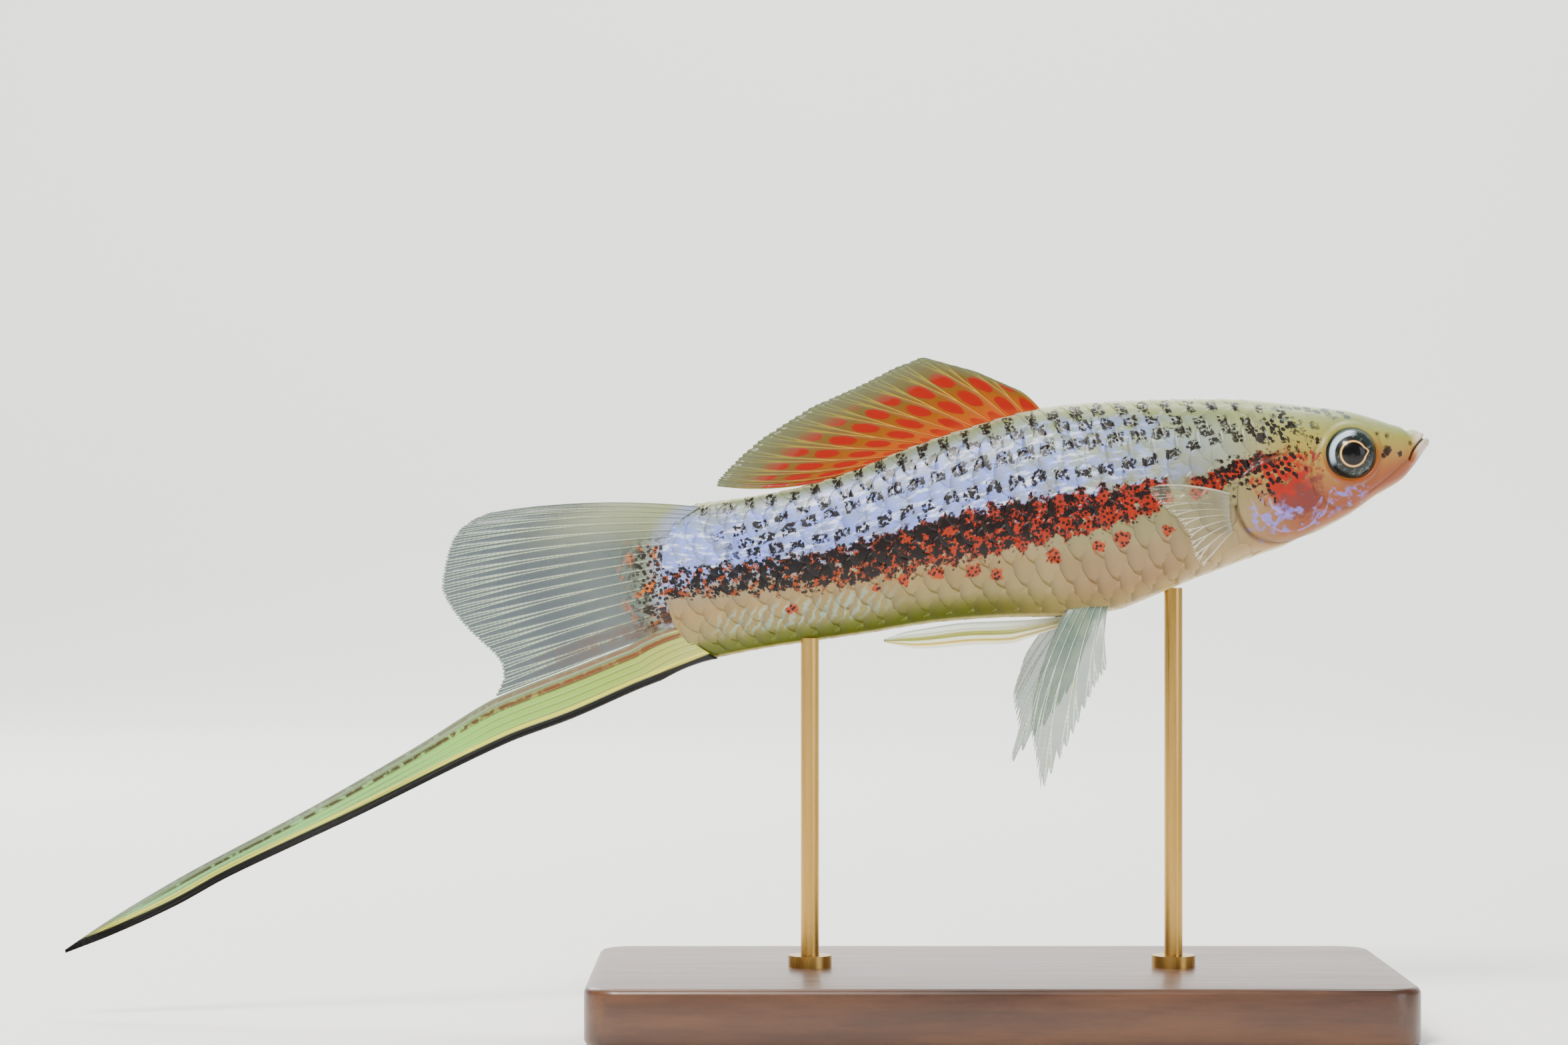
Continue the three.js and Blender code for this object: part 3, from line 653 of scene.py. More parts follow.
def body_colour():
    """Colour of skin and scales, with the place, fine noise and luck used; on skin, luck is
    painted shade.
    """
    fish = value_of("fish")
    wrap = value_of("wrap")
    u, v, _ = split(fish)
    h, edge, luck = split(value_of("lay"))
    fine = noise(fish, 1.6, 4.0, 0.6)
    wobbly = push(h, fish, 0.35, 0.10)
    rear = ramp(wobbly, REAR_COLOURS)
    fore = ramp(wobbly, FORE_COLOURS)
    face = ramp(wobbly, HEAD_COLOURS)
    colour = paint(fore, rear, rise(u, 26, 44))
    colour = paint(colour, face, rise(u, 19, 11))
    # Painted sheen: the lavender-blue iridescence of the scales on the upper flank, and painted
    # white glints on it
    painted_sheen = times(
        rise(noise(fish, 0.9, 3.0, 0.7), 0.40, 0.62), band(h, 0.44, 0.56, 0.86, 0.98),
        rise(u, 16, 30),
    )
    colour = paint(colour, "#A3B2F0", painted_sheen, 0.9)
    drawn_out = stretched(wrap, (0.45, 1.5, 1))
    painted_glints = times(
        rise(noise(drawn_out, 1.3, 3.0, 0.6), 0.50, 0.66), band(h, 0.5, 0.6, 0.86, 0.97),
        rise(u, 18, 34),
    )
    colour = paint(colour, "#EAF1FF", painted_glints, 0.85)

    # Green flush and pale blue bars low on the tail, and a thin pale line along the keel
    low = times(band(u, 46, 52, 61, 66), band(push(h, fish, 0.5, 0.1), 0.10, 0.16, 0.24, 0.32))
    slant = plus(times(u, 6.4), times(v, 4.4))
    bars = calc("SINE", push(slant, fish, 0.8, 12.0))
    colour = paint(colour, "#B4DDE0", low, rise(bars, -0.2, 0.9), 0.36)
    flush = times(rise(h, 0.15, 0.05), band(u, 36, 46, 66, 68))
    colour = paint(colour, "#7F8A2E", flush, 0.5)
    colour = paint(colour, "#EADCAE", rise(h, 0.03, 0.01), 0.85)
    colour = paint(colour, "#E4E4CC", rise(h, 0.975, 0.995), 0.6)
    rosy = times(band(u, 21, 25, 31, 36), band(h, 0.04, 0.12, 0.24, 0.34))
    colour = paint(colour, "#A67C62", rosy, 0.25)

    # Faint edges of the scales
    rim = times(rise(edge, 0.70, 0.98), 0.22)
    colour = paint(colour, "#6F6C66", rim)

    # Rows of dark dots from the back down to the stripe
    dark = larger(*[row_of_dots(u, h, wrap, *row) for row in DOT_ROWS])
    colour = paint(colour, "#33281C", dark, 0.94)

    # Broken stripe: orange-red ground under clotted black, blacker towards the tail and along
    # its upper edge, with one clot to each scale
    middle = line_at(u, STRIPE_MIDDLE)
    width = line_at(u, STRIPE_WIDTH)
    above = ratio(minus(h, middle), width)
    scallop = calc("SINE", times(u, TURN / SCALE_STEP))
    off = plus(calc("ABSOLUTE", above), times(scallop, 0.14))
    ragged = push(off, wrap, 1.3, 1.5, 3.0)
    gap = minus(1.0, band(push(u, wrap, 1.0, 2.0), 21.0, 21.8, 22.8, 23.6))
    in_stripe = times(rise(ragged, 1.08, 0.86), gap, rise(u, 12.5, 14.5))
    thin_out = rise(u, 40, 64, 0.0, 0.15)
    ground_red = rise(minus(noise(wrap, 1.4, 3.0, 0.65), thin_out), 0.34, 0.41)
    redness = paint("#A85C18", "#B04208", rise(u, 58, 34))
    colour = paint(colour, redness, in_stripe, ground_red, 0.95)
    cut = minus(line_at(u, CLOT_LIMIT), times(plus(above, scallop), 0.03))
    clots = minus(noise(wrap, 1.15, 5.0, 0.72), cut)
    grains = larger(rise(clots, -0.012, 0.015), times(spots(wrap, 2.1, 0.30, 9.0), 0.9))
    halo = times(rise(ragged, 1.32, 1.02), gap, rise(u, 13, 15))
    grains = times(larger(in_stripe, times(halo, spots(wrap, 1.9, 0.36, 4.0))), grains)
    ink = paint("#1F1512", "#1B1B26", rise(u, 44, 62))
    colour = paint(colour, ink, grains, 0.96)

    # Loose red spots below the stripe, some of them cored with black
    nearby = push(u, wrap, 1.5, 1.2, 1.0)
    height = push(v, wrap, 1.5, 1.2, 2.0)
    for at, size in RED_SPOTS:
        colour = paint(colour, "#BE5412", disc(nearby, height, at, (size, size), 0.6), 0.9)
        core = times(disc(nearby, height, at, (size, size), 0.5), spots(wrap, 2.6, 0.38, at[0]))
        colour = paint(colour, "#2A1710", core, 0.9)

    # Face: red patch behind the eye, rosy cheek, lilac arcs, brown spots on the snout, pale lips
    u2 = push(u, fish, 0.9, 6.0)
    v2 = push(v, fish, 0.9, 6.0, 7.0)
    lilac_grain = rise(noise(fish, 1.3, 3.0), 0.46, 0.58)
    colour = paint(colour, "#8C4248", disc(u2, v2, (12.4, -2.3), (3.2, 2.5), 0.4), 0.8)
    red_skin = times(disc(u2, v2, (13.3, -0.3), (2.9, 2.2), 0.5), rise(fine, 0.38, 0.5))
    colour = paint(colour, "#B83A10", red_skin, 0.96)
    colour = paint(colour, "#A93A1E", disc(u2, v2, (10.0, 0.9), (0.8, 1.2), 0.5), 0.85)
    for at, size in PECKED_PATCHES:
        peck = times(disc(u2, v2, at, size, 0.6), spots(wrap, 1.9, 0.42, 3.0))
        colour = paint(colour, "#24130E", peck, 0.93)
    for at, size in LILAC_PATCHES:
        patch = times(lilac_grain, disc(u2, v2, at, size, 0.4))
        colour = paint(colour, "#A29FE8", patch, 0.75)
    for at, radius, arc_width in LILAC_ARCS:
        ring_mark = times(
            arc(push(u, fish, 0.6, 0.8), v, at, radius, arc_width), rise(v, -1.4, -2.6),
            rise(u, 9.0, 10.4), rise(noise(fish, 1.4, 2.0), 0.40, 0.52),
        )
        colour = paint(colour, "#B9A6D2", ring_mark, 0.75)
    u3 = push(u, fish, 1.6, 0.9)
    v3 = push(v, fish, 1.6, 0.9, 3.0)
    for at, size in SNOUT_SPOTS:
        colour = paint(colour, "#3C1D10", disc(u3, v3, at, size, 0.6), 0.9)
    dashes = times(disc(u2, v2, (9.5, 4.6), (6.0, 1.0), 0.5), spots(wrap, 0.9, 0.36, 5.0))
    colour = paint(colour, "#6F7A80", dashes, 0.75)
    rimmed = times(arc(u, v, EYE_AT, 2.42, 0.3), rise(v, 2.2, -0.6))
    colour = paint(colour, "#A5662F", rimmed, 0.75)
    colour = paint(colour, "#E2D9CF", rise(u, 1.6, 0.8), 0.8)
    colour = paint(colour, "#5A4B33", disc(u, v, (1.65, 0.35), (0.22, 0.3), 0.4), 0.7)
    deep = add("ShaderNodeGamma", {"Color": colour, "Gamma": PAINT_DEPTH}).outputs[0]
    return deep, fish, fine, luck


skin_paint, tree, surface = material("painted_fish_skin")
colour, fish, fine, fold = body_colour()
# The skin is darkened with painted shade in the bottoms of its folds, slits and pits.
fill(surface, {
    "Base Color": paint(colour, "#3A1E12", fold, 0.75),
    "Roughness": rise(fine, 0.2, 0.8, 0.34, 0.48),
    "Coat Weight": 0.10, "Coat Roughness": 0.15, "Specular IOR Level": 0.28,
    "Subsurface Weight": 0.08, "Subsurface Scale": 0.0008, "Subsurface Radius": (1.0, 0.6, 0.4),
})
bump(surface, noise(fish, 5.0, 4.0, 0.6), 0.04 * MM, 0.5)
skin.data.materials.append(skin_paint)
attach(skin, "root")
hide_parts("head", "lower_jaw", "gill_cover_right", "gill_cover_left", "trunk", "tail")


# Scales
# Thin overlapping bony plates in staggered rows from the nape to the root of the tail fin,
# each rooted in the skin at its front and lying free at its round rear edge.
SCALE_ROWS = 10
SCALE_LONG = 1.55
SCALE_ROOT = -0.62
SCALE_WIDE = 1.06
SCALE_THICK = 0.04
LAST_SCALE = 66.0
MAP_LENGTH = 70
MAP_SPREAD = 0.003
SHARES = 101
shares = arc_table / arc_table[:, -1:]
angle_table = np.array([np.interp(np.linspace(0, 1, SHARES), row, ARC_A) for row in shares])


def angle_at(u, g):
    """Angle of a point a share g of the way from back to belly, or past the belly up again."""
    g = np.where(g > 1, 2 - g, g)
    return lookup(angle_table, u / LAST * (len(ARC_U) - 1), np.abs(g) * (SHARES - 1))


def wrap_side(g):
    """1 where a point of a row is on its own side, -1 past the ridge of the back or the belly."""
    return np.where(g > 1, -1, np.sign(np.where(g == 0, 1, g)))


def sheet_faces(columns, rows):
    """Faces of a thin closed sheet: a front grid, a back grid and the edge round them."""
    index = np.arange(columns * rows).reshape(columns, rows)
    front = np.stack([index[:-1, :-1], index[1:, :-1], index[1:, 1:], index[:-1, 1:]], axis=-1)
    front = front.reshape(-1, 4)
    rim = np.concatenate([index[:-1, 0], index[-1, :-1], index[:0:-1, -1], index[0, :0:-1]])
    after = np.roll(rim, -1)
    back = columns * rows
    edges = np.stack([rim, rim + back, after + back, after], axis=-1)
    return np.concatenate([front, front[:, ::-1] + back, edges])


START_OF_ROW = [9.2, 9.8, 10.6, 12.2, 16.4, 18.0, 18.6, 18.8, 18.2, 16.6, 14.6]
NX, NY = 8, 9
gx, gy = np.meshgrid(np.linspace(0, 1, NX), np.linspace(-1, 1, NY), indexing="ij")
outline = np.sqrt(np.maximum(0.02, 1 - ((gx - 0.44) / 0.57) ** 2)) ** 0.75
to_edge = np.maximum(gx, np.abs(gy) * 0.55 * (gx > 0.4)).reshape(-1)
spread = np.stack([gx.reshape(-1) - 0.5, gy.reshape(-1) * 0.5], axis=-1) * MAP_SPREAD
plate_faces = sheet_faces(NX, NY)
plate_points = 2 * NX * NY

# Rows 0 and SCALE_ROWS lie on the ridges of back and belly, so they are laid only once
rng = np.random.default_rng(7)
scale_points, scale_lay, scale_wrap, scale_uv = [], [], [], []
for side in (-1, 1):
    for row in range(SCALE_ROWS + 1):
        if side > 0 and row in (0, SCALE_ROWS):
            continue
        centre = row / SCALE_ROWS
        flush = 1 - 0.7 * soft(np.array(row), 5, 8)
        lift = -0.09 + (0.11 * gx ** 1.2 - 0.03 * gy ** 2) * flush
        root = LAST_SCALE - SCALE_STEP * 0.5 * (row % 2)
        while root > START_OF_ROW[row]:
            # Each scale differs a little in size, turn and shade
            size = 0.97 + 0.08 * rng.random()
            tilt = 0.02 * (rng.random() - 0.5)
            luck = rng.random()
            u = np.clip(root + SCALE_STEP * (SCALE_ROOT + SCALE_LONG * gx) * size, 0.5, LAST)
            reach = (gy * outline * SCALE_WIDE / SCALE_ROWS) * size
            g = centre + reach + tilt * (gx - 0.5)
            g = g if row else np.where(g == 0, 1e-6, g)
            a = angle_at(u, g)
            a = np.where(wrap_side(g) * side > 0, a, np.pi - a)
            base, n = body_point(u, a), body_normal(u, a)
            upper = base + n * lift[..., None]
            lower = base + n * (lift - SCALE_THICK)[..., None]
            plate = np.stack([upper, lower]).reshape(-1, 3)
            scale_points.append(plate)
            marks = [share_of_height(plate), np.tile(to_edge, 2), np.full(len(plate), luck)]
            scale_lay.append(np.stack(marks, axis=-1))
            scale_wrap.append(np.tile(wrap_at(u, a).reshape(-1, 3), (2, 1)))
            middle = [0.03 + 0.94 * root / MAP_LENGTH, 0.5 + side * (0.02 + 0.45 * centre)]
            scale_uv.append(np.tile(spread, (2, 1)) + middle)
            root -= SCALE_STEP
scale_faces = [plate_faces + plate_points * i for i in range(len(scale_points))]
scales = piece("scales", np.concatenate(scale_points), np.concatenate(scale_faces).tolist(), {
    "lay": np.concatenate(scale_lay), "wrap": np.concatenate(scale_wrap),
})
unwrap = scales.data.uv_layers.new(name="OFBake")
corner = np.empty(len(scales.data.loops), dtype=np.int64)
scales.data.loops.foreach_get("vertex_index", corner)
unwrap.data.foreach_set("uv", np.concatenate(scale_uv)[corner].astype(np.float32).reshape(-1))

scale_paint, tree, surface = material("painted_fish_scales")
colour, fish, fine, luck = body_colour()
value = rise(luck, 0.0, 1.0, 0.93, 1.07)
fill(surface, {
    "Base Color": add("ShaderNodeHueSaturation", {"Color": colour, "Value": value}).outputs[0],
    "Roughness": rise(fine, 0.2, 0.8, 0.32, 0.46),
    "Coat Weight": 0.08, "Coat Roughness": 0.15, "Specular IOR Level": 0.28,
})
bump(surface, noise(fish, 4.0, 3.0, 0.6), 0.03 * MM, 0.4)
scales.data.materials.append(scale_paint)
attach(scales, "root")


# Eyes
# Round, lidless eyes: a clear domed cornea over a slate iris, with a thin gold ring round a
# black pupil that is drawn to a slight point towards the snout.
EYE_PROFILE = through([(0, 1.02), (0.3, 0.97), (0.5, 0.86), (0.7, 0.68), (0.85, 0.5), (1.0, 0.1)])


EYE_RADIUS = 2.24
EYE_RINGS = 36
EYE_TURNS = 72
EYE_ROOT = 2.5
EYE_DOME = 1.6
EYE_BACK = 1.2


def eye(name, side):
    radii = np.linspace(0.02, 1.0, EYE_RINGS)
    turns = np.arange(EYE_TURNS) / EYE_TURNS * 2 * np.pi
    R, T = np.meshgrid(radii, turns, indexing="ij")
    points = np.stack([
        EYE_AT[0] + EYE_RADIUS * R * np.cos(T), EYE_AT[1] + EYE_RADIUS * R * np.sin(T),
        side * (EYE_ROOT + EYE_DOME * EYE_PROFILE(R)),
    ], axis=-1)
    back = points[-1] * [1, 1, 0] + [0, 0, side * EYE_BACK]
    points = np.concatenate([points, back[None]])
    faces = tube_faces(len(points), EYE_TURNS)
    points = points.reshape(-1, 3)
    made = piece(name, points, faces, {"lay": np.zeros((len(points), 3))})
    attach(made, "root")
    return made


glassy, tree, surface = material("clear_eye_over_iris")
fish = value_of("fish")
u, v, _ = split(fish)
du = minus(u, EYE_AT[0] - 0.05)
dv = minus(v, EYE_AT[1] - 0.05)
# The pupil is drawn to a point on the side of the snout
point = times(rise(du, -0.3, -1.4), rise(calc("ABSOLUTE", dv), 0.5, 0.0), 0.26)
far = minus(hypotenuse(du, dv), point)
iris = ramp(ratio(far, EYE_RADIUS), [
    (0.0, "#020202"), (0.43, "#020202"), (0.45, "#9A6C2A"), (0.485, "#E2C88C"), (0.52, "#8A5C24"),
    (0.545, "#0E1314"), (0.72, "#222B2A"), (0.88, "#141B1C"), (0.94, "#5D6C72"), (1.0, "#3A423E"),
])
streak = rise(noise(fish, 2.2, 4.0, 0.6), 0.5, 0.75)
iris = paint(iris, "#7C8A80", streak, band(far, 1.22, 1.3, 1.9, 2.1), 0.6)
# A pale blue crescent of painted highlight on the upper rear of the iris
highlight_crescent = times(band(far, 1.5, 1.65, 1.95, 2.05), rise(plus(dv, du), 0.8, 1.8), 0.8)
fill(surface, {
    "Base Color": paint(iris, "#C9DCF2", highlight_crescent), "Roughness": 0.3, "Coat Weight": 0.55,
    "Coat Roughness": 0.03, "Specular IOR Level": 0.15, "Coat IOR": 1.4,
})
for name, side in (("eye_glass_right", -1), ("eye_glass_left", 1)):
    made = eye(name, side)
    made.data.materials.append(glassy)
    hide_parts(name.replace("glass_", ""))


# Fins
# Thin clear membrane held open by jointed bony rays that fork twice on the way to a ragged
# edge. Each fin is one closed sheet; the rays are ridges in it, finer than in the solids.
FORK_ONE = 0.24
FORK_TWO = 0.115
NOTCH_WIDTH = 0.11
EDGE_FROM = 0.97
EDGE_SHARE = 0.6
RIPPLE = 0.05
JOINT_STEP = 0.42


def crest_at(x, t, first, second, width):
    """1 on a ray and 0 between rays, for rays that fork where t passes first and second."""
    near = x - np.round(x)
    one = FORK_ONE * np.clip((t - first) / (1 - first), 0, 1) ** 0.8
    two = FORK_TWO * np.clip((t - second) / (1 - second), 0, 1) ** 0.8
    best = np.zeros_like(x)
    for a in (-1, 1):
        for b in (-1, 1):
            best = np.maximum(best, np.exp(-(((near - a * one - b * two) / width) ** 2)))
    return best


def along(points, s):
    """The point a share s of the way along a row of points."""
    points = np.asarray(points, float)
    x = np.clip(s, 0, 1) * (len(points) - 1)
    i = np.minimum(x.astype(int), len(points) - 2)
    f = (x - i)[..., None]
    return points[i] * (1 - f) + points[i + 1] * f


def rays_from(root, tip, bow, t, out=lambda uv: 0.0):
    """Points a share t along rays that bow from root to tip, and their mm from the root."""
    way = tip - root
    side_push = (4 * t * (1 - t) * bow)[..., None]
    uv = root + way * t[..., None] + np.stack([-way[..., 1], way[..., 0]], axis=-1) * side_push
    w = np.broadcast_to(out(uv), t.shape)
    return np.concatenate([uv, w[..., None]], axis=-1), np.linalg.norm(way, axis=-1) * t


def taper(start, loss, swelling=0.0, power=1):
    """Half a thickness in mm that goes from start at the root down by loss at the edge."""
    return lambda t: start + swelling * (1 - t) ** power - loss * t


def fin(name, rays, place, thin, thick, normal, nodes, per_ray=20, steps=70,
        first=0.35, second=0.65, ragged=0.02, width=0.055):
    """A closed sheet of rays. thin and thick give half its thickness between and on the rays."""
    xs = np.linspace(0, rays - 1, (rays - 1) * per_ray + 1)
    ts = np.linspace(0, 1, steps)
    X, T = np.meshgrid(xs, ts, indexing="ij")
    crest = crest_at(X, T, first, second, width)
    cut = ragged * (1 - crest_at(X, np.ones_like(T), first, second, NOTCH_WIDTH)) * T ** 6
    points, far = place(X / (rays - 1), T * (1 - cut))
    half = thin(T) + (thick(T) - thin(T)) * crest
    half = half * np.where(T > EDGE_FROM, EDGE_SHARE, 1)
    n = np.array(normal, float)
    ripple = RIPPLE * np.sin(X * 2 * np.pi) * T
    front = points + n * (half + ripple)[..., None]
    back = points + n * (-half + ripple)[..., None]
    marks = np.stack([X, far, crest], axis=-1).reshape(-1, 3)
    where = np.stack([T, X / (rays - 1), T * 0], axis=-1).reshape(-1, 3)
    made = piece(name, np.stack([front, back]).reshape(-1, 3), sheet_faces(*X.shape).tolist(), {
        "fin": np.tile(marks, (2, 1)), "where": np.tile(where, (2, 1)),
    })
    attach(made, "root")
    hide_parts(*nodes)
    return made


def fin_inputs():
    """Place, number of the ray, mm from the root, ray or membrane, way out, way across, joint."""
    x, far, crest = split(value_of("fin"))
    t, s, _ = split(value_of("where"))
    joint = calc("SINE", times(far, TURN / JOINT_STEP))
    return value_of("fish"), x, far, crest, t, s, rise(joint, 0.55, 0.95)


def fin_finish(surface, fish, colour, alpha, joint, crest):
    fill(surface, {
        "Base Color": colour, "Alpha": alpha, "Roughness": 0.28, "Coat Weight": 0.1,
        "Coat Roughness": 0.15, "Specular IOR Level": 0.25,
    })
    grain = minus(noise(fish, 3.0, 3.0), times(joint, crest, 0.5))
    bump(surface, grain, 0.04 * MM, 0.6)


# Dorsal fin: amber to olive membrane with rows of red ovals between gold rays
DORSAL_START = 32.4
DORSAL_END = 50.2
OVAL_STEP = 3.0
DORSAL_TIPS = [
    (33.9, 11.35), (37.4, 13.75), (41.7, 15.85), (44.4, 15.35), (46.9, 14.6), (49.4, 14.0),
    (51.9, 13.45), (54.4, 12.5), (56.9, 11.5), (58.9, 10.35), (60.4, 9.35), (61.3, 8.65),
    (61.5, 8.2),
]


def dorsal_place(s, t):
    u = DORSAL_START + (DORSAL_END - DORSAL_START) * s
    root = np.stack([u, top_line(u) - 0.25], axis=-1)
    return rays_from(root, along(DORSAL_TIPS, s), 0.05 - 0.105 * s, t)


dorsal = fin(
    "dorsal_fin_sheet", 13, dorsal_place, taper(0.2, 0.08), taper(0.34, 0.18), (0, 0, 1),
    ["dorsal_fin"],
)
amber, tree, surface = material("amber_dorsal_membrane")
fish, x, far, crest, t, _, joint = fin_inputs()
colour = ramp(push(t, fish, 0.8, 0.25), [
    (0.0, "#B04A06"), (0.18, "#964A02"), (0.45, "#7A4602"), (0.72, "#5C4A06"), (1.0, "#525A34"),
])
gap_mid = calc("ABSOLUTE", minus(calc("FRACT", x), 0.5))
chance = add("ShaderNodeTexWhiteNoise", {"W": calc("FLOOR", x)}, noise_dimensions="1D").outputs[0]
shifted = plus(push(far, fish, 0.6, 1.2), times(chance, 1.6))
wave = calc("FRACT", ratio(shifted, OVAL_STEP))
oval_long = ratio(calc("ABSOLUTE", minus(wave, 0.5)), 0.42)
oval_wide = ratio(gap_mid, 0.36)
oval = plus(times(oval_long, oval_long), times(oval_wide, oval_wide))
oval = times(rise(push(oval, fish, 1.5, 0.6), 1.0, 0.6), rise(t, 0.85, 0.65))
colour = paint(colour, "#8E1404", oval, 0.97)
colour = paint(colour, "#A8400A", rise(t, 0.16, 0.02), 0.6)
gold = ramp(t, [(0.0, "#C87A0C"), (0.35, "#BE8A0E"), (0.7, "#8C7E1E"), (1.0, "#66704A")])
colour = paint(colour, gold, rise(crest, 0.55, 0.9), 0.85)
alpha = larger(rise(t, 0.3, 1.0, 0.97, 0.8), rise(crest, 0.4, 0.8))
alpha = larger(alpha, oval)
fin_finish(surface, fish, colour, alpha, joint, crest)
dorsal.data.materials.append(amber)

# Caudal fin: smoky blue-grey membrane between pale jointed rays, speckled orange at its root
CAUDAL_ROOTS = [(63.2, 6.7), (65.0, 5.95), (66.3, 4.15), (66.8, 2.05), (67.0, -0.5), (66.7, -3.05)]
CAUDAL_TIPS = [
    (79.6, 9.65), (81.6, 9.7), (83.0, 9.4), (84.3, 8.8), (85.1, 8.0), (85.7, 7.0), (86.2, 5.9),
    (86.6, 4.9), (86.85, 3.9), (86.6, 2.8), (86.2, 1.8), (85.7, 0.8), (85.0, -0.3), (84.2, -1.4),
    (83.4, -2.45), (82.9, -3.5), (83.0, -4.8), (84.0, -6.2),
]


def caudal_place(s, t):
    return rays_from(along(CAUDAL_ROOTS, s), along(CAUDAL_TIPS, s), 0.03 * (1 - s), t)


caudal = fin(
    "caudal_fin_sheet", 18, caudal_place, taper(0.2, 0.08, 0.4, 6), taper(0.34, 0.2, 0.4, 6),
    (0, 0, 1), ["caudal_fin"], steps=110,
)
smoky, tree, surface = material("smoky_tail_membrane")
fish, _, far, crest, t, s, joint = fin_inputs()
membrane = ramp(t, [(0.0, "#7E866A"), (0.25, "#4A5854"), (0.6, "#2E3E44"), (1.0, "#34474E")])
bony = ramp(t, [(0.0, "#B6BC92"), (0.4, "#A2B08C"), (1.0, "#9CAE9C")])
bony = paint(bony, "#4E5A52", joint, 0.45)
colour = paint(membrane, bony, rise(crest, 0.35, 0.75))
_, v, _ = split(fish)
colour = paint(colour, "#B9BE86", rise(v, 4.0, 8.0), rise(t, 0.8, 0.2), 0.5)
colour = paint(colour, "#8C93A8", rise(far, 2.6, 0.6))
patch = times(rise(push(far, fish, 0.8, 3.0), 5.2, 2.2), band(v, -4.8, -2.4, 3.6, 5.6))
colour = paint(colour, "#B85E14", patch, rise(noise(fish, 1.1, 3.0), 0.52, 0.57))
flecks = times(
    patch, larger(spots(fish, 1.9, 0.34, 2.0), rise(noise(fish, 1.2, 4.0, 0.7), 0.53, 0.55)),
)
colour = paint(colour, "#1E1512", flecks, 0.95)
brown_low = times(
    band(push(s, fish, 0.5, 0.08), 0.86, 0.91, 0.97, 1.0), rise(far, 17.0, 6.0),
    rise(noise(fish, 1.5, 3.0), 0.35, 0.6), 0.75,
)
colour = paint(colour, "#54341A", brown_low)
alpha = larger(rise(t, 0.0, 0.35, 0.96, 0.74), rise(crest, 0.3, 0.7, 0.0, 0.98))
alpha = larger(larger(alpha, brown_low), larger(patch, rise(far, 3.0, 1.0)))
fin_finish(surface, fish, colour, alpha, joint, crest)
caudal.data.materials.append(smoky)

# Sword: mint to yellow-green blade between a brown dotted line above and a black edge below
SWORD_TOP = through([
    (66.0, -2.95), (75.6, -4.75), (83.9, -6.3), (86.6, -7.2), (91.2, -9.0), (100.2, -12.15),
    (105.4, -13.8), (113.9, -16.4), (121.2, -19.04), (125.7, -20.95),
])
SWORD_BOTTOM = through([
    (64.0, -6.55), (68.9, -7.45), (71.7, -7.97), (77.6, -9.32), (84, -10.44), (97.9, -14.19),
    (103.5, -15.6), (110.3, -17.36), (115.1, -18.91), (120.9, -20.33), (125.6, -21.2),
])
SWORD_ROOTS = [(66.6, -3.1), (66.2, -4.2), (65.8, -5.1), (64.2, -6.6)]
SWORD_TIP = 125.6
SWORD_JOINT_STEP = 0.62


def sword_place(s, t):
    root = along(SWORD_ROOTS, s)
    u = root[..., 0] + (SWORD_TIP - root[..., 0]) * t
    mixed = np.minimum(1, t * 12)
    drawn = SWORD_TOP(u) + (SWORD_BOTTOM(u) - SWORD_TOP(u)) * s
    v = root[..., 1] * (1 - mixed) + drawn * mixed
    from_edge = v - SWORD_BOTTOM(u)
    return np.stack([u, v, np.zeros_like(u)], axis=-1), from_edge


sword = fin(
    "sword_sheet", 8, sword_place, taper(0.24, 0.08, 0.35, 14), taper(0.36, 0.15, 0.3, 12),
    (0, 0, 1), ["sword"], per_ray=12, steps=200, first=0.3, second=0.9,
    ragged=0.0,
)
green, tree, surface = material("green_sword_membrane")
fish, _, above, crest, t, s, _ = fin_inputs()
u, _, _ = split(fish)
bars = rise(calc("SINE", times(u, TURN / SWORD_JOINT_STEP)), 0.4, 0.9)
colour = ramp(t, [
    (0.0, "#A8A858"), (0.12, "#94AE44"), (0.35, "#84BA54"), (0.7, "#7CB872"), (1.0, "#90BA8C"),
])
colour = paint(colour, "#CFDB84", rise(crest, 0.4, 0.8), 0.6)
colour = paint(colour, "#8FA86A", bars, 0.25)
colour = paint(colour, "#D6CF4E", band(above, 0.62, 0.7, 0.95, 1.15), 0.8)
grey = times(rise(s, 0.30, 0.12), rise(t, 0.0, 0.06))
colour = paint(colour, "#7F8874", grey, 0.75)
for low, high, strength in ((0.02, 0.12, 0.55), (0.16, 0.34, 0.95)):
    mid = (low + high) / 2
    lane = band(s, low, mid - 0.02, mid + 0.02, high)
    beads = rise(noise(fish, 1.5, 3.0), 0.34, 0.5)
    colour = paint(colour, "#3F2A1C", lane, beads, rise(t, 0.98, 0.75), strength)
    colour = paint(colour, "#7E4620", lane, rise(u, 92, 76), 0.7)
colour = paint(colour, "#12100E", rise(above, 0.78, 0.6))
alpha = larger(rise(s, 0.05, 0.3, 0.8, 0.97), rise(crest, 0.3, 0.7))
fin_finish(surface, fish, colour, alpha, bars, crest)
sword.data.materials.append(green)

# Pectoral and pelvic fins: clear, faintly mint membrane with white rays
PECTORAL_ROOTS = [(18.2, -0.9), (18.45, -2.0), (18.6, -3.1), (18.5, -4.2)]
PECTORAL_TIPS = [
    (24.2, 1.0), (25.2, 0.95), (25.0, 0.1), (24.3, -0.75), (23.5, -1.6), (22.9, -2.5),
    (22.4, -3.6), (22.3, -4.7), (22.2, -5.8), (21.6, -6.7),
]
PELVIC_START = 29.9
PELVIC_LONG = 3.4
PELVIC_RIGHT = [
    (31.3, -13.7), (32.9, -15.4), (35.6, -19.2), (39.0, -23.2), (38.9, -20.1), (38.9, -17.8),
    (38.2, -15.2),
]
PELVIC_LEFT = [
    (33.6, -14.6), (36.6, -17.6), (41.0, -21.1), (39.4, -17.9), (39.5, -16.0), (39.4, -14.8),
    (37.8, -11.8),
]


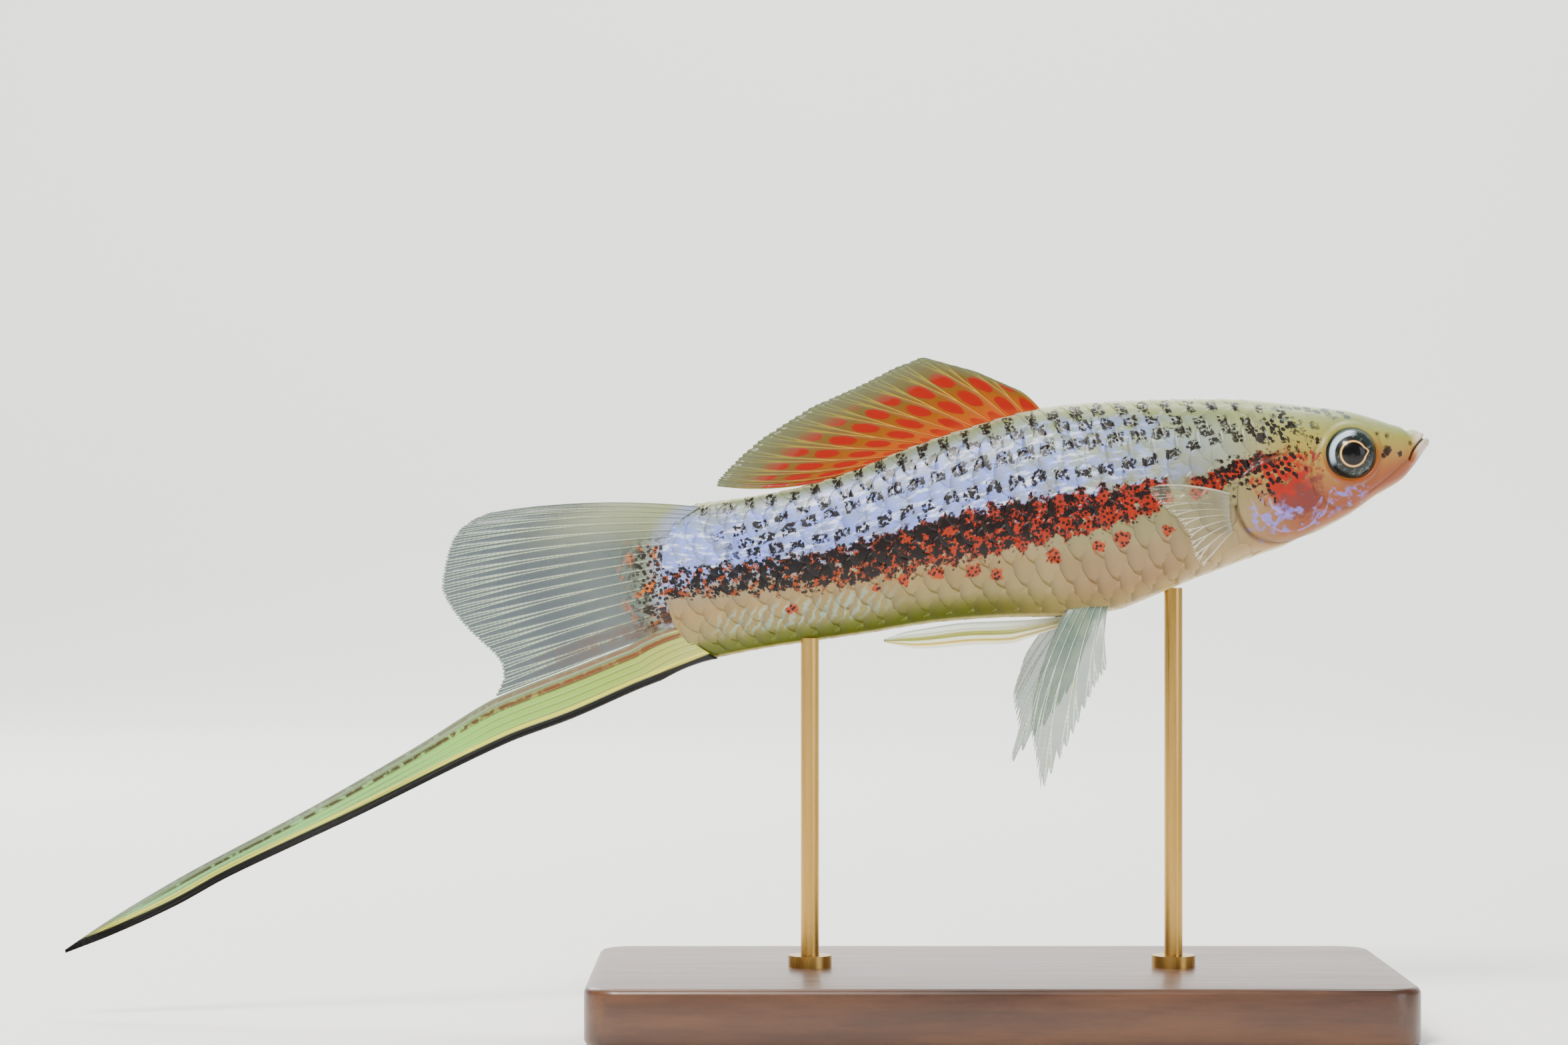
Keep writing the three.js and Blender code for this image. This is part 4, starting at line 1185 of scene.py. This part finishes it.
def side_at(u, v):
    """Half the width of the body at station u and height v."""
    up = v > widest_at(u)
    n = np.where(up, round_top(u), round_bottom(u))
    reach = (v - widest_at(u)) / (np.where(up, top_line(u), bottom_line(u)) - widest_at(u))
    return half_width(u) * np.maximum(0, 1 - np.abs(reach) ** n) ** (1 / n)


def belly_at(u, w):
    """Height of the belly at station u, w mm off its middle."""
    n = round_bottom(u)
    part = (1 - (w / half_width(u)) ** n) ** (1 / n)
    return widest_at(u) + (bottom_line(u) - widest_at(u)) * part


def pectoral_place(side):
    def place(s, t):
        root = along(PECTORAL_ROOTS, s)
        skin_w = side_at(root[..., 0], root[..., 1])

        def out(uv):
            spread = skin_w + 0.12 + 0.36 * (uv[..., 0] - root[..., 0])
            return side * (spread - 0.25 * t * t + 0.35 * soft(t, 0.0, 0.3))

        return rays_from(root, along(PECTORAL_TIPS, s), 0.04, t, out)

    return place


def pelvic_place(side, tips):
    def place(s, t):
        u = PELVIC_START + PELVIC_LONG * s
        root = np.stack([u, belly_at(u, 1.6) + 0.35], axis=-1)
        out = side * (1.25 + 2.6 * t + 0.25 * np.sin(s * np.pi))
        return rays_from(root, along(tips, s), 0.05, t, lambda uv: out)

    return place


clear, tree, surface = material("clear_fin_membrane")
fish, _, _, crest, t, _, joint = fin_inputs()
membrane = ramp(noise(fish, 0.7), [(0.3, "#5C7468"), (0.7, "#7C8C78")])
bony = paint("#CBD8CC", "#76887A", joint, 0.4)
bony = paint(bony, "#C0BE66", rise(noise(fish, 0.5), 0.55, 0.7), 0.5)
colour = paint(membrane, bony, rise(crest, 0.35, 0.75))
alpha = larger(rise(t, 0.0, 0.5, 0.8, 0.5), rise(crest, 0.3, 0.7, 0.0, 0.96))
fin_finish(surface, fish, colour, alpha, joint, crest)

glassy_fin, tree, surface = material("clear_pectoral_membrane")
fish, _, _, crest, t, s, joint = fin_inputs()
colour = paint("#A9A48C", "#DEDCCB", rise(crest, 0.35, 0.75))
edge_ray = rise(minus(0.07, s), 0.0, 0.05)
rays_seen = times(rise(crest, 0.4, 0.85), rise(s, 0.0, 0.9, 0.15, 0.6))
alpha = larger(rise(t, 0.0, 0.25, 0.4, 0.1), larger(rays_seen, edge_ray))
fin_finish(surface, fish, colour, alpha, joint, crest)

for word, side, tips in (("right", -1, PELVIC_RIGHT), ("left", 1, PELVIC_LEFT)):
    made = fin(
        f"pectoral_sheet_{word}", 10, pectoral_place(side), taper(0.16, 0.06), taper(0.26, 0.12),
        (-0.3, 0, side * 0.95), [f"pectoral_fin_{word}"], per_ray=16, steps=40,
        first=0.6, second=0.9,
    )
    made.data.materials.append(glassy_fin)
    made = fin(
        f"pelvic_sheet_{word}", 7, pelvic_place(side, tips), taper(0.17, 0.06), taper(0.32, 0.16),
        (0, 0.1, side * 0.99), [f"pelvic_fin_{word}"], per_ray=16, steps=60,
        first=0.4, second=0.7, ragged=0.12,
    )
    made.data.materials.append(clear)


# Gonopodium
# The male's anal fin: a few thick rays bound into a pointed rod, folded back along the belly.
# It is one closed body of five rays with hardly a fork, pale mint with an olive stripe.
GONO_START = 34.0
GONO_LONG = 15.7
GONO_SLANT = 0.5
GONO_TOP = through([
    (34.0, -8.7), (36.6, -8.5), (39.4, -8.1), (42.8, -7.6), (45.2, -7.5), (47.8, -7.45),
    (49.7, -7.7),
])
GONO_BOTTOM = through([
    (34.6, -9.6), (37.4, -10.0), (38.9, -10.15), (42.1, -9.65), (46.7, -9.1), (49.1, -8.25),
    (49.7, -7.95),
])


def gono_place(s, t):
    u = GONO_START + GONO_SLANT * s + (GONO_LONG - GONO_SLANT * s) * t
    v = GONO_TOP(u) + (GONO_BOTTOM(u) - GONO_TOP(u)) * s
    return np.stack([u, v, np.zeros_like(u)], axis=-1), u - GONO_START


rod_fin = fin(
    "gonopodium_rod", 5, gono_place, taper(0.38, 0.18), taper(0.56, 0.32), (0, 0, 1),
    ["gonopodium"], per_ray=12, steps=70, first=0.9, second=0.95, ragged=0.0,
)
mint, tree, surface = material("mint_gonopodium_skin")
fish, _, _, crest, t, s, joint = fin_inputs()
colour = ramp(s, [
    (0.0, "#C9D6C6"), (0.30, "#DDE3D2"), (0.42, "#8E9142"), (0.56, "#A9A94E"), (0.66, "#DFE5CF"),
    (0.80, "#D9BC3A"), (0.92, "#E6E4C4"), (1.0, "#DCE3D4"),
])
colour = paint(colour, "#C9BC98", rise(t, 0.45, 0.0), 0.5)
fin_finish(surface, fish, colour, 1.0, joint, crest)
rod_fin.data.materials.append(mint)


# Stand
# A small hardwood board with eased edges, and two turned brass rods that carry the model.
# The board is one block, bevelled; each rod is a plain bar set in a low ferrule.
BASE = (70, 34, 5)
CORNER_RADIUS = 3
EDGE_RADIUS = 0.6
RODS = {"front": 15.7, "rear": -16.0}
ROD_RADIUS = 0.8
FERRULE_RADIUS = 1.9
FERRULE_HEIGHT = 1.0
SMOOTH_UNDER = math.radians(35)


def rounded(name, size):
    """A block that stands on the floor, with round corners and eased edges."""
    bpy.ops.object.select_all(action="DESELECT")
    bpy.ops.mesh.primitive_cube_add(size=1)
    made = bpy.context.object
    made.name = name
    mesh = made.data
    middle = (0, 0, size[2] / 2)
    for vertex in mesh.vertices:
        vertex.co = [vertex.co[k] * size[k] * MM + middle[k] * MM for k in range(3)]
    heights = [[mesh.vertices[i].co.z for i in edge.vertices] for edge in mesh.edges]
    upright = [i for i, (one, two) in enumerate(heights) if abs(one - two) > 1e-6]
    bpy.ops.object.mode_set(mode="EDIT")
    bpy.ops.mesh.select_mode(type="EDGE")
    bpy.ops.mesh.select_all(action="DESELECT")
    bpy.ops.object.mode_set(mode="OBJECT")
    for index in upright:
        mesh.edges[index].select = True
    bpy.ops.object.mode_set(mode="EDIT")
    bpy.ops.mesh.bevel(offset=CORNER_RADIUS * MM, segments=8)
    bpy.ops.object.mode_set(mode="OBJECT")
    ease = made.modifiers.new("ease", "BEVEL")
    ease.width = EDGE_RADIUS * MM
    ease.segments = 4
    ease.limit_method = "ANGLE"
    bpy.ops.object.modifier_apply(modifier="ease")
    bpy.ops.object.shade_smooth_by_angle(angle=SMOOTH_UNDER)
    return made


def bar(radius, length, x, z):
    """A round bar that stands on end at x, with its middle at height z, all in metres."""
    bpy.ops.object.select_all(action="DESELECT")
    bpy.ops.mesh.primitive_cylinder_add(vertices=48, radius=radius, depth=length)
    made = bpy.context.object
    for vertex in made.data.vertices:
        vertex.co.x += x
        vertex.co.z += z
    return made


base_board = rounded("base_board", BASE)
wood, tree, surface = material("dark_walnut_board")
place = add("ShaderNodeTexCoord").outputs["Object"]
grain = noise(stretched(place, (60, 900, 500)), 1.0, 6.0, 0.65)
figure = noise(stretched(place, (25, 260, 260)), 1.0, 3.0, 0.5)
fill(surface, {
    "Base Color": ramp(plus(times(grain, 0.5), times(figure, 0.5)), [
        (0.3, "#2A170E"), (0.48, "#4A2C1A"), (0.6, "#5D3A22"), (0.75, "#3A2114"),
    ]),
    "Roughness": rise(grain, 0.2, 0.8, 0.32, 0.48), "Coat Weight": 0.3, "Coat Roughness": 0.2,
})
bump(surface, grain, 0.05 * MM, 0.5)
base_board.data.materials.append(wood)
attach(base_board, "root")
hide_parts("stand_base")

brass, tree, surface = material("satin_brass")
place = add("ShaderNodeTexCoord").outputs["Object"]
fine = noise(stretched(place, (900, 900, 60)), 1.0, 4.0)
fill(surface, {
    "Base Color": ramp(fine, [(0.3, "#B08A45"), (0.7, "#C9A35C")]), "Metallic": 1.0,
    "Roughness": rise(fine, 0.2, 0.8, 0.22, 0.36),
})
bump(surface, fine, 0.01 * MM, 0.4)
for word, x in RODS.items():
    low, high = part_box(f"stand_rod_{word}")
    rod = bar(ROD_RADIUS * MM, high[2] - low[2], x * MM, (low[2] + high[2]) / 2)
    rod.name = f"rod_{word}"
    bar(FERRULE_RADIUS * MM, FERRULE_HEIGHT * MM, x * MM, (BASE[2] + FERRULE_HEIGHT / 2) * MM)
    rod.select_set(True)
    bpy.context.view_layer.objects.active = rod
    bpy.ops.object.join()
    bpy.ops.object.shade_smooth_by_angle(angle=SMOOTH_UNDER)
    rod.data.materials.clear()
    rod.data.materials.append(brass)
    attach(rod, "root")
    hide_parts(f"stand_rod_{word}")
